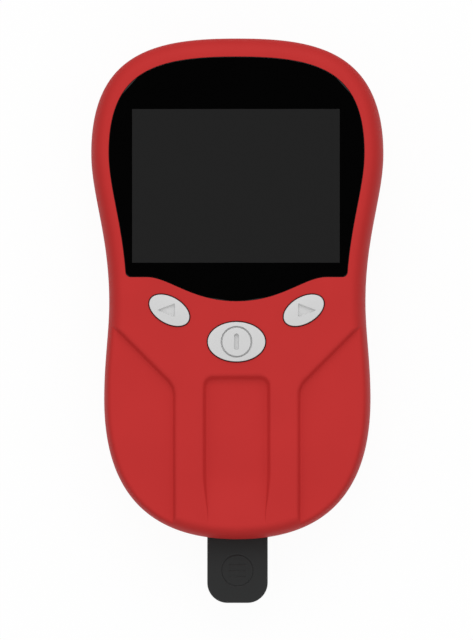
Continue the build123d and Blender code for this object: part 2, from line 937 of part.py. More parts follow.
def strip_tray():
    """The sliding tray, with a pocket for the strip and a tab to pull."""
    tray = plate(tray_face(), tray_bottom_z, tray_top_z)
    tail_edges = tray.edges().filter_by(lambda e: e.center().Y < 0 and abs(e.tangent_at(0.5).Z) < 0.5)
    tray = fillet(tail_edges.filter_by(lambda e: e.length < tray_width + tray_edge), tray_edge)
    half = strip_width / 2 + strip_clearance
    reach = strip_length / 2 + strip_clearance
    pocket = rounded(-half, half, optics_y - reach, optics_y + reach, strip_clearance)
    tray -= plate(pocket, tray_top_z - pocket_depth, tray_top_z + past)
    tray -= rod((0, optics_y - reach), tray_top_z - pocket_depth, tray_top_z + past, finger_scoop)
    return tray - tray_grip()


def test_strip():
    """The test strip in the tray's pocket, with the round spot for the sample."""
    bottom = tray_top_z - pocket_depth
    half = strip_width / 2
    strip = block(-half, half, optics_y - strip_length / 2, optics_y + strip_length / 2,
                  bottom, bottom + strip_thickness)
    return strip - rod((0, optics_y), bottom + strip_thickness / 2, bottom + past, strip_spot)


def tray_guide():
    """The channel that the tray slides in, screwed to the back shell's posts."""
    guide = block(-guide_half, guide_half, guide_tail_y, guide_head_y, guide_bottom_z, guide_top_z)
    for _, y in guide_ear_places[:2]:
        half = guide_ear_x + guide_ear / 2
        guide += block(-half, half, y - guide_ear / 2, y + guide_ear / 2, guide_bottom_z, guide_floor_z)
    half = guide_shelf_width / 2
    guide += block(-half, half, guide_head_y - wall, guide_head_y + guide_shelf_length,
                   guide_bottom_z, guide_floor_z)
    stop_y = tray_ear_y - tray_travel - tray_clearance
    half = tray_half + tray_clearance
    guide -= block(-half, half, guide_tail_y - past, stop_y + past, guide_floor_z, guide_roof_z)
    guide -= block(-guide_inner_half, guide_inner_half, stop_y, guide_head_y, guide_floor_z, guide_roof_z)
    guide -= block(-light_slot_width / 2, light_slot_width / 2,
                   optics_y - light_slot_length / 2, optics_y + light_slot_length / 2,
                   guide_roof_z - past, guide_top_z + past)
    guide -= block(-leaf_slot_width / 2, leaf_slot_width / 2,
                   optics_y - leaf_slot_length / 2, optics_y + leaf_slot_length / 2,
                   guide_bottom_z - past, guide_floor_z + tray_clearance)
    for place in guide_ear_places:
        guide -= rod(place, guide_bottom_z - past, guide_floor_z + past, board_screw_hole)
    for y in optics_screw_ys:
        guide -= rod((0, y), guide_roof_z + guide_skin, guide_top_z + past, board_screw_pilot)
    return guide


def tray_guide_screws():
    """The screws that hold the tray's guide."""
    return group([small_screw(place, guide_floor_z, False) for place in guide_ear_places])


def tray_leaf_spring():
    """The leaf spring under the guide, which presses on the tray through a slot."""
    head = optics_y + leaf_slot_length / 2
    tail = optics_y - leaf_slot_length / 2
    low = guide_bottom_z - leaf_thickness
    crest = tray_bottom_z - tray_clearance - leaf_thickness
    points = [
        (head + leaf_foot, low),
        (head, low),
        (optics_y + leaf_foot / 2, crest),
        (optics_y - leaf_foot / 2, crest),
        (tail + leaf_foot / 2, low),
    ]
    return ribbon(points[::-1], leaf_thickness, -leaf_width / 2, leaf_width / 2)


def tray_switch():
    """The small switch behind the tray, with the lever that the closed tray presses."""
    half = tray_switch_width / 2
    start = guide_head_y + tray_clearance
    top = guide_floor_z + tray_switch_height
    body = block(-half, half, start, start + tray_switch_length, guide_floor_z, top)
    face = tray_head_y + tray_clearance
    lever = block(-half / 2, half / 2, face, face + tray_lever_thickness, guide_floor_z + tray_clearance,
                  guide_floor_z + tray_thickness)
    arm = block(-half / 2, half / 2, face, start, guide_floor_z + tray_thickness - tray_lever_thickness,
                guide_floor_z + tray_thickness)
    return body + lever + arm


def glass_half(axis_length):
    """Half of the optics window along one side of the light slot."""
    return axis_length / 2 + glass_overlap


def optics_housing():
    """The dark block over the tray, with a bore for each lamp and for the detector."""
    half = optics_width / 2
    housing = block(-half, half, optics_y - optics_length / 2, optics_y + optics_length / 2,
                    guide_top_z, optics_top_z)
    x = glass_half(light_slot_width) + glass_clearance
    y = glass_half(light_slot_length) + glass_clearance
    glass_top = guide_top_z + glass_thickness + glass_clearance / 2
    housing -= block(-x, x, optics_y - y, optics_y + y, guide_top_z - past, glass_top)
    for step in (-optics_bore_pitch, optics_bore_pitch):
        housing -= rod((0, optics_y + step), glass_top - past, optics_top_z + past, optics_bore)
    housing -= rod((0, optics_y), glass_top - past, optics_top_z + past, lens_seat_bore)
    housing -= rod((0, optics_y), glass_top + lens_seat_height, optics_top_z + past, optics_bore)
    for y in optics_screw_ys:
        housing -= rod((0, y), guide_top_z - past, optics_top_z + past, board_screw_hole)
    return housing


def optics_board():
    """The small board on top of the optics housing."""
    half = optics_width / 2
    board = block(-half, half, optics_y - optics_length / 2, optics_y + optics_length / 2,
                  optics_top_z, optics_board_top_z)
    for y in optics_screw_ys:
        board -= rod((0, y), optics_top_z - past, optics_board_top_z + past, board_screw_hole)
    return board


def led(y):
    """A round lamp that hangs from the optics board, dome down."""
    flange = rod((0, y), optics_top_z - led_flange_thickness, optics_top_z, led_flange)
    dome_z = optics_top_z - led_length + led_diameter / 2
    body = rod((0, y), dome_z, optics_top_z, led_diameter)
    return flange + body + Pos(0, y, dome_z) * Sphere(led_diameter / 2, arc_size2=0)


def measuring_led():
    """The lamp that lights the strip's spot for the measurement."""
    return led(optics_y - optics_bore_pitch)


def reference_led():
    """The lamp for the reference reading."""
    return led(optics_y + optics_bore_pitch)


def photodiode():
    """The detector can under the optics board."""
    return rod((0, optics_y), optics_top_z - diode_height, optics_top_z, diode_diameter)


def detector_lens():
    """The lens under the detector, flat below and bulged above."""
    seat = guide_top_z + glass_thickness + glass_clearance / 2 + lens_seat_height
    top = seat + detector_lens_edge + detector_lens_bulge
    radius = ((detector_lens_diameter / 2) ** 2 + detector_lens_bulge ** 2) / (2 * detector_lens_bulge)
    disc = rod((0, optics_y), seat, top, detector_lens_diameter)
    return disc & Pos(0, optics_y, top - radius) * Sphere(radius)


def optics_window():
    """The clear plate that keeps the sample out of the optics."""
    x = glass_half(light_slot_width)
    y = glass_half(light_slot_length)
    return block(-x, x, optics_y - y, optics_y + y, guide_top_z, guide_top_z + glass_thickness)


def optics_screws():
    """The screws through the optics board and its housing into the guide."""
    length = optics_board_top_z - guide_roof_z - guide_wall / 2
    return group([small_screw((0, y), optics_board_top_z, False, length) for y in optics_screw_ys])


def optics_flex():
    """The flat cable from the optics board to the main board."""
    start = optics_y + optics_length / 2 - optics_screw_edge
    edge = optics_y + optics_length / 2
    end = board_tail_y + seam_gap
    low = board_top_z + connector_height / 2
    high = optics_board_top_z
    points = [(start, high), (edge + ribbon_lead / 2, high), (end - ribbon_lead / 2, low), (end, low)]
    return ribbon(points, ribbon_thickness, flex_x, flex_x + flex_width)


def optics_connector():
    """The connector for the optics board's cable."""
    start = board_tail_y + seam_gap
    x0 = flex_x - connector_margin
    x1 = flex_x + flex_width + connector_margin
    return block(x0, x1, start, start + connector_depth, board_top_z, board_top_z + connector_height)


def usb_port():
    """The data port at the head end of the main board, with its contact tongue."""
    end = top_y - port_set_in
    start = end - port_length
    half = port_width / 2
    top = board_top_z + port_height
    body = block(-half, half, start, end, board_top_z, top)
    body = fillet(body.edges().filter_by(Axis.Y), port_corner)
    hollow = block(port_wall - half, half - port_wall, start + port_wall, end + past,
                   board_top_z + port_wall, top - port_wall)
    body -= fillet(hollow.edges().filter_by(Axis.Y), port_corner - port_wall)
    middle = (board_top_z + top) / 2
    return body + block(-tongue_width / 2, tongue_width / 2, start, start + tongue_length + port_wall,
                        middle - tongue_thickness / 2, middle + tongue_thickness / 2)


pieces = {
    "front_shell": front_shell(),
    "back_shell": back_shell(),
    "display_window": display_window(),
    "window_gasket": window_gasket(),
    "display_panel": display_panel(),
    "display_foam": display_foam(),
    "display_frame": display_frame(),
    "display_flex": display_flex(),
    "display_connector": display_connector(),
    "main_board": main_board(),
    "processor": processor(),
    "memory_chip": memory_chip(),
    "board_components": board_components(),
    "buzzer": buzzer(),
    "main_board_screws": main_board_screws(),
    "case_screws": case_screws(),
    "key_switches": key_switches(),
    "battery_contacts": battery_contacts(),
    "battery_springs": battery_springs(),
    "battery_door": battery_door(),
    "door_foam": door_foam(),
    "rubber_feet": rubber_feet(),
    "strip_tray": strip_tray(),
    "test_strip": test_strip(),
    "tray_guide": tray_guide(),
    "tray_guide_screws": tray_guide_screws(),
    "tray_leaf_spring": tray_leaf_spring(),
    "tray_switch": tray_switch(),
    "optics_housing": optics_housing(),
    "optics_board": optics_board(),
    "measuring_led": measuring_led(),
    "reference_led": reference_led(),
    "photodiode": photodiode(),
    "detector_lens": detector_lens(),
    "optics_window": optics_window(),
    "optics_screws": optics_screws(),
    "optics_flex": optics_flex(),
    "optics_connector": optics_connector(),
    "usb_port": usb_port(),
}
for key in key_places:
    pieces[key + "_key"] = key_cap(key)
    pieces[key + "_key_plunger"] = key_plunger(key)
for place in cell_ways():
    pieces["battery_" + place] = cell(place)

os.makedirs("parts", exist_ok=True)
to_middle = Pos(0, (tray_out - top_y) / 2, 0)
for node, piece in pieces.items():
    export_step(to_middle * piece, f"parts/{node}.step")
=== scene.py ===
import math

import bmesh
import bpy
import numpy as np
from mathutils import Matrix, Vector
from mathutils.geometry import delaunay_2d_cdt
from mathutils.kdtree import KDTree


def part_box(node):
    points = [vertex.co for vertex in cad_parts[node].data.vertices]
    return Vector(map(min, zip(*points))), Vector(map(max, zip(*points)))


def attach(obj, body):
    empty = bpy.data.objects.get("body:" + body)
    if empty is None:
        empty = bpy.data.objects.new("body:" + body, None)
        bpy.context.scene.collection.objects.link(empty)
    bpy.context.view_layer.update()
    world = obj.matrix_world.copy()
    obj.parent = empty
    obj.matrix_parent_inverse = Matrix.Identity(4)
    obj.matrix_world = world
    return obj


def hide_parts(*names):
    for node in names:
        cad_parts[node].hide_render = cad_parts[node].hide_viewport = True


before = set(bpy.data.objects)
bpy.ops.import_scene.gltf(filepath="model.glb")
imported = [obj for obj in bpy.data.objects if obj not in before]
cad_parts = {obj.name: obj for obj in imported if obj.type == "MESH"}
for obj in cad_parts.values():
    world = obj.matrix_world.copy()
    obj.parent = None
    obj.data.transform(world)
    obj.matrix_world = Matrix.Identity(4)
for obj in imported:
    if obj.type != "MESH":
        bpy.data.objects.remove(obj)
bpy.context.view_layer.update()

# A handheld blood meter that lies on its back. Sizes are in millimetres until a mesh is made:
# x from the middle, y from the tail end of the body, z from the surface it rests on.
METRES = 0.001
TAIL_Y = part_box("back_shell")[0].y / METRES
BODY_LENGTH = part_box("back_shell")[1].y / METRES - TAIL_Y

# Sizes that follow the solids, but for the window's inset, the opening in its print and the keys: these
# follow the photograph
OUTLINE_CURVES = (
    ((0.0, 0.0), (26.3, 0.0), (37.0, 14.75), (37.0, 38.95)),
    ((37.0, 38.95), (37.0, 49.85), (35.6, 57.55), (35.6, 65.85)),
    ((35.6, 65.85), (35.6, 84.65), (40.6, 95.55), (40.6, 107.35)),
    ((40.6, 107.35), (40.6, 136.75), (20.1, 139.1), (0.0, 139.1)),
)
BACK_Z = 0.5
FLOOR_Z = 2.7
PARTING_Z = 13.3
CEILING_Z = 23.5
LEDGE_Z = 25.5
LENS_BOTTOM_Z = 25.7
LENS_TOP_Z = 27.0
FRONT_Z = 27.1
WALL = 2.2
WINDOW_INSET = 5.17
WINDOW_FOOT_Y = 72.9
WINDOW_GAP = 0.07
WINDOW_LEVEL_HALF = 25.0
WINDOW_DIP = 6.7
WINDOW_CORNER = 1.4
SCREEN_HALF = (28.8, 21.6)
SCREEN_Y = 97.85
PRINT_OPENING = (-28.95, 28.6, 76.85, 119.45)
KEYS = {
    "left_key": ((-18.63, 63.66), (6.06, 3.61), -30.0),
    "right_key": ((18.63, 63.66), (6.06, 3.61), 30.0),
    "power_key": ((0.0, 54.93), (7.96, 5.47), 0.0),
}
KEY_HOLE_GAP = 0.3
TRAY_SLOT = (-8.7, 8.7, -6, 3.8, 11.4, 15.2)
PORT_HOLE = (-4.8, 4.8, 129, 142, 19.0, 22.8, 1.2)

# How closely loops are divided
OVAL_POINTS = 96
BOX_STEP = 3.0


def linear(hex_colour):
    """An sRGB hex colour as linear red, green, blue and alpha."""
    parts = [int(hex_colour[i:i + 2], 16) / 255 for i in (0, 2, 4)]
    return [c / 12.92 if c <= 0.04045 else ((c + 0.055) / 1.055) ** 2.4 for c in parts] + [1.0]


# The plan of the casing

def bezier(share, a, b, c, d):
    """Points on a cubic curve, at shares of its way."""
    rest = 1 - share
    return rest**3 * a + 3 * rest**2 * share * b + 3 * rest * share**2 * c + share**3 * d


def outline_samples(spacing):
    """Places and outward directions round the body, anticlockwise from the tail end."""
    place, way = [], []
    share = np.linspace(0, 1, 800, endpoint=False)[:, None]
    for curve in OUTLINE_CURVES:
        a, b, c, d = np.array(curve, float)
        rest = 1 - share
        place.append(bezier(share, a, b, c, d))
        way.append(rest**2 * (b - a) + 2 * rest * share * (c - b) + share**2 * (d - c))
    place = np.vstack([*place, OUTLINE_CURVES[-1][-1]])
    way = np.vstack([*way, (-1.0, 0.0)])
    way /= np.linalg.norm(way, axis=1)[:, None]
    run = np.concatenate([[0], np.cumsum(np.linalg.norm(np.diff(place, axis=0), axis=1))])
    stops = np.linspace(0, run[-1], round(run[-1] / spacing) + 1)
    place = np.column_stack([np.interp(stops, run, axis) for axis in place.T])
    way = np.column_stack([np.interp(stops, run, axis) for axis in way.T])
    outward = np.column_stack([way[:, 1], -way[:, 0]])
    outward[[0, -1]] = (0, -1), (0, 1)
    mirrored = np.array([-1.0, 1.0])
    return (np.vstack([place, (place * mirrored)[-2:0:-1]]),
            np.vstack([outward, (outward * mirrored)[-2:0:-1]]))


EDGE, EDGE_WAY = outline_samples(0.7)
FINE_EDGE, FINE_WAY = outline_samples(0.05)
FINE_TREE = KDTree(len(FINE_EDGE))
for number, (edge_x, edge_y) in enumerate(FINE_EDGE):
    FINE_TREE.insert((edge_x, edge_y, 0), number)
FINE_TREE.balance()


def edge_distance(points):
    """How far points lie inside the outline, and the y of the edge nearest to each."""
    nearest = [FINE_TREE.find((x, y, 0))[1] for x, y in points]
    return ((FINE_EDGE[nearest] - points) * FINE_WAY[nearest]).sum(axis=1), FINE_EDGE[nearest, 1]


def smooth(share):
    """A soft step from 0 to 1."""
    share = np.clip(share, 0, 1)
    return share * share * (3 - 2 * share)


def at(loop, z):
    """A loop moved to a height, or to one height for each of its points."""
    return np.column_stack([loop[:, :2], np.broadcast_to(z, len(loop))])


def rim(inset, z):
    """A loop round the body, drawn in from the outline."""
    return at(EDGE - EDGE_WAY * np.broadcast_to(inset, len(EDGE))[:, None], z)


def circle(centre, radius, z, count=40):
    """A round loop."""
    turn = np.linspace(0, 2 * math.pi, count, endpoint=False)
    return at(np.column_stack([centre[0] + radius * np.cos(turn), centre[1] + radius * np.sin(turn)]), z)


def oval(key, grow, z):
    """The loop of one key, grown by a gap."""
    (x, y), (long_half, short_half), tilt = KEYS[key]
    turn = np.linspace(0, 2 * math.pi, OVAL_POINTS, endpoint=False)
    flat = np.column_stack([long_half * np.cos(turn), short_half * np.sin(turn)])
    out = np.column_stack([short_half * np.cos(turn), long_half * np.sin(turn)])
    flat += grow * out / np.linalg.norm(out, axis=1)[:, None]
    c, s = math.cos(math.radians(tilt)), math.sin(math.radians(tilt))
    return at(flat @ np.array([[c, s], [-s, c]]) + (x, y), z)


def rounded_path(corners, radii, closed=True, arc_steps=8):
    """Straight runs through corners, each corner rounded by its own radius."""
    corners = [np.array(c, float) for c in corners]
    stops = []
    for number, (corner, radius) in enumerate(zip(corners, radii)):
        if radius <= 0 or (not closed and number in (0, len(corners) - 1)):
            stops.append(corner)
            continue
        back = corners[number - 1] - corner
        ahead = corners[(number + 1) % len(corners)] - corner
        back /= np.linalg.norm(back)
        ahead /= np.linalg.norm(ahead)
        half = math.acos(np.clip(back @ ahead, -1, 1)) / 2
        middle = corner + (back + ahead) / np.linalg.norm(back + ahead) * radius / math.sin(half)
        start = corner + back * radius / math.tan(half) - middle
        end = corner + ahead * radius / math.tan(half) - middle
        sweep = math.pi - 2 * half
        for count in range(arc_steps + 1):
            turn = sweep * count / arc_steps
            stops.append(middle + (start * math.sin(sweep - turn) + end * math.sin(turn)) / math.sin(sweep))
    return np.array(stops)


def filled(path, step, model=None, closed=True):
    """A path with points along its runs, as many on each run as on a model path of the same shape."""
    model = path if model is None else model
    lengths = np.linalg.norm(np.roll(model, -1, axis=0) - model, axis=1)
    stops = []
    for number, start in enumerate(path if closed else path[:-1]):
        count = max(1, round(lengths[number] / step))
        end = path[(number + 1) % len(path)]
        stops += [start + (end - start) * n / count for n in range(count)]
    return np.array(stops if closed else stops + [path[-1]])


def closed_line(loop):
    """A loop as a line that ends where it starts."""
    return np.vstack([loop[:, :2], loop[:1, :2]])


def box_loop(half, y0, y1, z, tail_radius=0.0, head_radius=0.0):
    """A rectangular loop across the middle, with round corners."""
    corners = [(-half, y0), (half, y0), (half, y1), (-half, y1)]
    return at(filled(rounded_path(corners, [tail_radius] * 2 + [head_radius] * 2), BOX_STEP), z)


def window_loop(grow, z):
    """The window's edge: the outline drawn in, above a foot that dips in the middle."""
    foot = WINDOW_FOOT_Y - grow
    side = EDGE - EDGE_WAY * (WINDOW_INSET - grow)
    half = len(EDGE) // 2 + 1
    upright = side[:half][EDGE[:half, 1] > 50]
    corner = np.interp(foot, upright[:, 1], upright[:, 0]), foot
    flank = side[EDGE[:, 1] > WINDOW_FOOT_Y + 2]
    share = np.linspace(0, 1, 28)[:, None]
    level = WINDOW_LEVEL_HALF
    dip = [(0, foot - WINDOW_DIP), (12.55, foot - WINDOW_DIP), (level - 6.25, foot), (level, foot)]
    curve = bezier(share, *np.array(dip))
    left = curve[1:] * (-1, 1)
    corners = [*curve, corner, *flank, (-corner[0], foot), *left[::-1]]
    round_corner = [WINDOW_CORNER + grow]
    radii = [0] * len(curve) + round_corner + [0] * len(flank) + round_corner + [0] * len(left)
    return at(rounded_path(corners, radii), z)


def inside(points, loop):
    """Which points lie inside a loop."""
    x, y = points.T
    hit = np.zeros(len(points), bool)
    x0, y0 = loop[-1, :2]
    for x1, y1 in loop[:, :2]:
        if y0 != y1:
            hit ^= ((y1 > y) != (y0 > y)) & (x < (x0 - x1) * (y - y1) / (y0 - y1) + x1)
        x0, y0 = x1, y1
    return hit


def new_object(name, data):
    """An object that holds data, in the scene."""
    obj = bpy.data.objects.new(name, data)
    bpy.context.scene.collection.objects.link(obj)
    return obj


class Skin:
    """The faces of one closed piece, gathered in millimetres."""

    def __init__(self):
        self.points = []
        self.faces = []

    def add(self, points, faces):
        first = len(self.points)
        self.points += [tuple(p) for p in points]
        self.faces += [[first + int(i) for i in face] for face in faces]
        return self

    def band(self, *loops):
        """Walls between loops that have the same number of points."""
        for low, high in zip(loops, loops[1:]):
            count = len(low)
            self.add(np.vstack([low, high]),
                     [(i, (i + 1) % count, count + (i + 1) % count, count + i) for i in range(count)])
        return self

    def cap(self, loop):
        """One flat face."""
        return self.add(loop, [range(len(loop))])

    def solid(self, *loops):
        """Walls between loops, closed by a face at each end."""
        return self.band(*loops).cap(loops[0]).cap(loops[-1])

    def sheet(self, rims, lines=(), grid=(), height=None):
        """A skin inside the first loop and outside the others, with edges along the lines."""
        points, edges = [], []
        for run in (*rims, *lines):
            first = len(points)
            points += run[:, :2].tolist()
            edges += [(first + i, first + i + 1) for i in range(len(run) - 1)]
            if any(run is loop for loop in rims):
                edges.append((len(points) - 1, first))
        rim_heights = np.concatenate([loop[:, 2] for loop in rims])
        points += [tuple(p) for p in grid]
        spots = [Vector(p) for p in points]
        verts, _, faces, origins, _, _ = delaunay_2d_cdt(spots, edges, [], 0, 1e-5, True)
        flat = np.array([v[:2] for v in verts])
        faces = np.array([f for f in faces if len(f) == 3])
        middle = flat[faces].mean(axis=1)
        keep = inside(middle, rims[0])
        for hole in rims[1:]:
            keep &= ~inside(middle, hole)
        z = height(flat) if height else np.full(len(flat), rim_heights[0])
        for number, origin in enumerate(origins):
            if origin and min(origin) < len(rim_heights):
                z[number] = rim_heights[min(origin)]
        return self.add(np.column_stack([flat, z]), faces[keep])

    def piece(self, name, sharp=30.0):
        """The piece as an object: one closed mesh in metres, in the row's frame."""
        mesh = bpy.data.meshes.new(name)
        points = (np.array(self.points) + (0, TAIL_Y, 0)) * METRES
        mesh.from_pydata(points.tolist(), [], self.faces)
        obj = new_object(name, mesh)
        work = bmesh.new()
        work.from_mesh(mesh)
        bmesh.ops.remove_doubles(work, verts=work.verts, dist=2e-6)
        loose = [v for v in work.verts if not v.link_faces]
        bmesh.ops.delete(work, geom=loose, context="VERTS")
        bmesh.ops.recalc_face_normals(work, faces=work.faces)
        work.to_mesh(mesh)
        work.free()
        shade(obj, sharp)
        return obj


def shade(obj, sharp=30.0):
    """Smooth shading, broken at edges sharper than an angle, and led by the large faces."""
    obj.data.shade_smooth()
    obj.data.set_sharp_from_angle(angle=math.radians(sharp))
    if "lead" not in obj.modifiers:
        lead = obj.modifiers.new("lead", "WEIGHTED_NORMAL")
        lead.keep_sharp = True


def carve(obj, added, removed):
    """Joins one skin's solids to a piece, cuts another's from it, and leaves a plain mesh."""
    lead = obj.modifiers["lead"]
    for solids, operation in ((added, "UNION"), (removed, "DIFFERENCE")):
        tool = solids.piece("tool")
        step = obj.modifiers.new("carve", "BOOLEAN")
        step.object = tool
        step.operation = operation
        step.solver = "EXACT"
        lead.show_viewport = False
        depsgraph = bpy.context.evaluated_depsgraph_get()
        mesh = bpy.data.meshes.new_from_object(obj.evaluated_get(depsgraph))
        obj.modifiers.remove(step)
        lead.show_viewport = True
        obj.data = mesh
        mesh.name = obj.name
        bpy.data.objects.remove(tool)
        shade(obj)
    return obj


def turned(skin, place, profile):
    """A closed solid of revolution, from its lowest loop to its highest."""
    skin.solid(*(circle(place, radius, z) for radius, z in profile))


def brick(skin, x0, x1, y0, y1, z0, z1, radius=0.0):
    """A closed box, with the edges along y rounded where it has a radius."""
    face = rounded_path([(x0, z0), (x1, z0), (x1, z1), (x0, z1)], [radius] * 4)
    skin.solid(*(np.column_stack([face[:, 0], np.full(len(face), y), face[:, 1]]) for y in (y0, y1)))


# The casing's sculpted front

WING_WALL = 1.9
WING_X = 17.97
WING_BEND_Y = 42.26
WING_BEND_RADIUS = 5.5
RECESS_DEPTH = 2.05
RECESS_HALF = 7.85
RECESS_HEAD_Y = 43.6
RECESS_SIDE_WALL = 2.1
RECESS_HEAD_WALL = 2.7
ROLL = 4.4
TAIL_ROLL = 4.0
HEAD_ROLL = 4.2
SIDE_TALL = 2.0
HEAD_TALL = 1.0
CREST_DROP = 1.0
SEAM_EDGE = 0.2
# A wall's hollow foot, straight part and round top: widths, and how steep it is in degrees. The recess's
# widths are shares of its wall.
WING_PROFILE = (0.35, 0.45, 1.1, 66)
RECESS_PARTS = (0.37, 0.26, 0.37)
RECESS_STEEP = 63
# How far inside the outline the face's lines end
LINE_MARGIN = 0.12


def crest_height(y):
    """The ridge's height, which falls slowly towards the tail end."""
    return FRONT_Z - CREST_DROP * smooth((28 - y) / 21)


def roll_tall(edge_y):
    """How many times taller than wide the rolled edge is."""
    return SIDE_TALL + (HEAD_TALL - SIDE_TALL) * smooth((edge_y - 115) / 20)


def roll_radius(edge_y):
    """How far the rolled edge reaches in from the outline."""
    tail, head = smooth((30 - edge_y) / 22), smooth((edge_y - 100) / 30)
    return ROLL + (TAIL_ROLL - ROLL) * tail + (HEAD_ROLL - ROLL) * head


def wing_distance(x, y):
    """How far points lie outside the foot of the wings' wall, with x taken from the middle."""
    across = WING_X - x
    line_y = WING_BEND_Y - WING_X
    slanted = (y - x - line_y) / math.sqrt(2)
    far = np.maximum(across, slanted)
    radius = WING_BEND_RADIUS
    corner_x = WING_X + radius
    corner_y = line_y + corner_x - radius * math.sqrt(2)
    dx, dy = x - corner_x, y - corner_y
    return np.where((dy > 0) & (dx + dy < 0), np.hypot(dx, dy) - radius, far)


def recess_depth(y):
    """How far the recess's floor lies under the crest. It runs out just before the tail end."""
    return RECESS_DEPTH * smooth((y - 3) / 16)


def recess_side(share, y):
    """Half the recess's width at a share of the way up its wall, which gets narrow as the recess runs out."""
    lift = np.maximum(recess_depth(y) / RECESS_DEPTH, 0.12)
    return RECESS_HALF + RECESS_SIDE_WALL * share * lift


def wall_height(out, foot, straight, top, steep):
    """A wall's height at a distance from its foot: a hollow arc, a steep straight part and a round top."""
    slope = math.tan(math.radians(steep))
    foot_radius, top_radius = (width / math.sin(math.radians(steep)) for width in (foot, top))
    low = foot_radius - np.sqrt(foot_radius**2 - np.clip(out, 0, foot)**2)
    middle = slope * np.clip(out - foot, 0, straight)
    left = np.clip(foot + straight + top - out, 0, top)
    high = math.cos(math.radians(steep)) * top_radius
    return low + middle + np.sqrt(top_radius**2 - left**2) - high


def wing_rise(out):
    """The height of the wings' wall over its foot."""
    return wall_height(out, *WING_PROFILE)


def recess_rise(share):
    """The rise of the recess's wall, from 0 to 1, at a share of its width."""
    width = RECESS_SIDE_WALL
    profile = [part * width for part in RECESS_PARTS] + [RECESS_STEEP]
    return wall_height(share * width, *profile) / wall_height(np.array(width), *profile)


def recess_share(x, y):
    """How far up the recess's wall points lie, from 0 at its foot to 1 at its top."""
    low, high = np.full(len(x), -0.5), np.full(len(x), 1.5)
    for _ in range(22):
        share = (low + high) / 2
        radius = 1.5 + 2 * share
        dx = x - recess_side(share, y) + radius
        dy = y - RECESS_HEAD_Y - RECESS_HEAD_WALL * share + radius
        outside = np.hypot(np.maximum(dx, 0), np.maximum(dy, 0)) + np.minimum(np.maximum(dx, dy), 0) > radius
        low = np.where(outside, share, low)
        high = np.where(outside, high, share)
    return (low + high) / 2


def front_height(points):
    """The front's height: the rolled edge, the wings and the recess, with soft outer corners."""
    x, y = np.abs(points[:, 0]), points[:, 1]
    distance, edge_y = edge_distance(points)
    radius = roll_radius(edge_y)
    reach = np.clip(radius - distance, 0, radius)
    roll = roll_tall(edge_y) * (radius - np.sqrt(radius**2 - reach**2))
    wing = wing_rise(np.array(WING_WALL)) - wing_rise(wing_distance(x, y))
    crest = crest_height(y)
    recess = recess_depth(y) * (1 - recess_rise(recess_share(x, y)))
    outer = (roll**5 + wing**5)**0.2
    return crest - (outer**7 + recess**7)**(1 / 7)


def roll_rings(radius):
    """Lines along a rolled edge, and one on the flat beside it."""
    insets = [radius * (1 - math.cos(turn)) for turn in np.radians(np.arange(9, 91, 9))] + [radius + 0.35]
    return [closed_line(rim(inset, 0.0)) for inset in insets]


def clipped(path):
    """The part of a path that lies inside the outline."""
    return path[edge_distance(path)[0] > LINE_MARGIN]


def front_lines():
    """The edges that the front's skin follows: rings on the rolled edge, and the walls' heights."""
    lines = roll_rings(roll_radius(EDGE[:, 1]))
    for out in (-0.5, -0.15, 0, 0.12, 0.24, 0.35, 0.53, 0.7, 0.9, 1.15, 1.5, 1.9, 2.4):
        corner = WING_X - out, WING_BEND_Y + out * (math.sqrt(2) - 1)
        path = rounded_path([(corner[0], -3), corner, (corner[0] + 40, corner[1] + 40)],
                            [0, WING_BEND_RADIUS + out, 0], closed=False)
        path = filled(path, 0.45, closed=False)
        lines += [clipped(path), clipped(path * (-1, 1))]
    for share in (-0.2, -0.05, 0, 0.13, 0.25, 0.33, 0.385, 0.5, 0.615, 0.67, 0.75, 0.87, 1, 1.05, 1.2):
        radius = 1.5 + 2 * share
        head = RECESS_HEAD_Y + RECESS_HEAD_WALL * share
        run = np.arange(-2, head - radius, 0.45)
        side = np.column_stack([recess_side(share, run), run])
        turn = np.radians(np.linspace(0, 90, 9))[:, None]
        corner = (RECESS_HALF + RECESS_SIDE_WALL * share - radius, head - radius)
        arc = corner + radius * np.hstack([np.cos(turn), np.sin(turn)])
        half = np.vstack([side, arc])
        lines.append(clipped(np.vstack([half, half[::-1] * (-1, 1)])))
    return lines


def front_grid():
    """Points between those lines, close together on the sculpted half."""
    spots = []
    for y in np.arange(1, BODY_LENGTH, 1.2):
        for x in np.arange(-40.2, 41, 1.2):
            if y < 52 or (round(y / 1.2) % 3 == 0 and round(x / 1.2) % 3 == 0):
                spots.append((x, y))
    spots = np.array(spots)
    distance, edge_y = edge_distance(spots)
    x, y = np.abs(spots.T[0]), spots.T[1]
    share = recess_share(x, y)
    walls = (np.abs(wing_distance(x, y) - 1) < 2) | ((share > -0.3) & (share < 1.3) & (x < 11) & (y < 48))
    return spots[(distance > roll_radius(edge_y) + 0.8) & ~walls]


# The two halves of the casing

BACK_ROLL = 6.0
BAY_HALF = 16.45
BAY_Y = (75.6, 126.1)
BAY_CEILING_Z = 14.2
BAY_WALL = 1.2
DOOR_HALF = 19.65
DOOR_Y = (72.4, 129.3)
DOOR_GAP = 0.3
DOOR_CORNER = 2.0
LABEL_Y = (38.4, 55.4)
LABEL_HALF = 17.0
CASE_SCREWS = [(x * side, y) for side in (-1, 1) for x, y in ((22.85, 127.4), (27.5, 27.5))]
BOARD_POSTS = [(x * side, y) for side in (-1, 1) for x, y in ((11.0, 127.65), (28.0, 57.5))]
FEET = [(x * side, y) for side in (-1, 1) for x, y in ((26.85, 107.35), (21.5, 15.0))]
GUIDE_POSTS = [(x * side, y) for side in (-1, 1) for x, y in ((13.3, 8.7), (13.3, 43.05))]
SOUND_HOLES = [(26.5 + dx, 84.6 + dy) for dx, dy in ((0, 0), (3, 0), (-3, 0), (0, 3), (0, -3))]
HOOK_X = 10.9


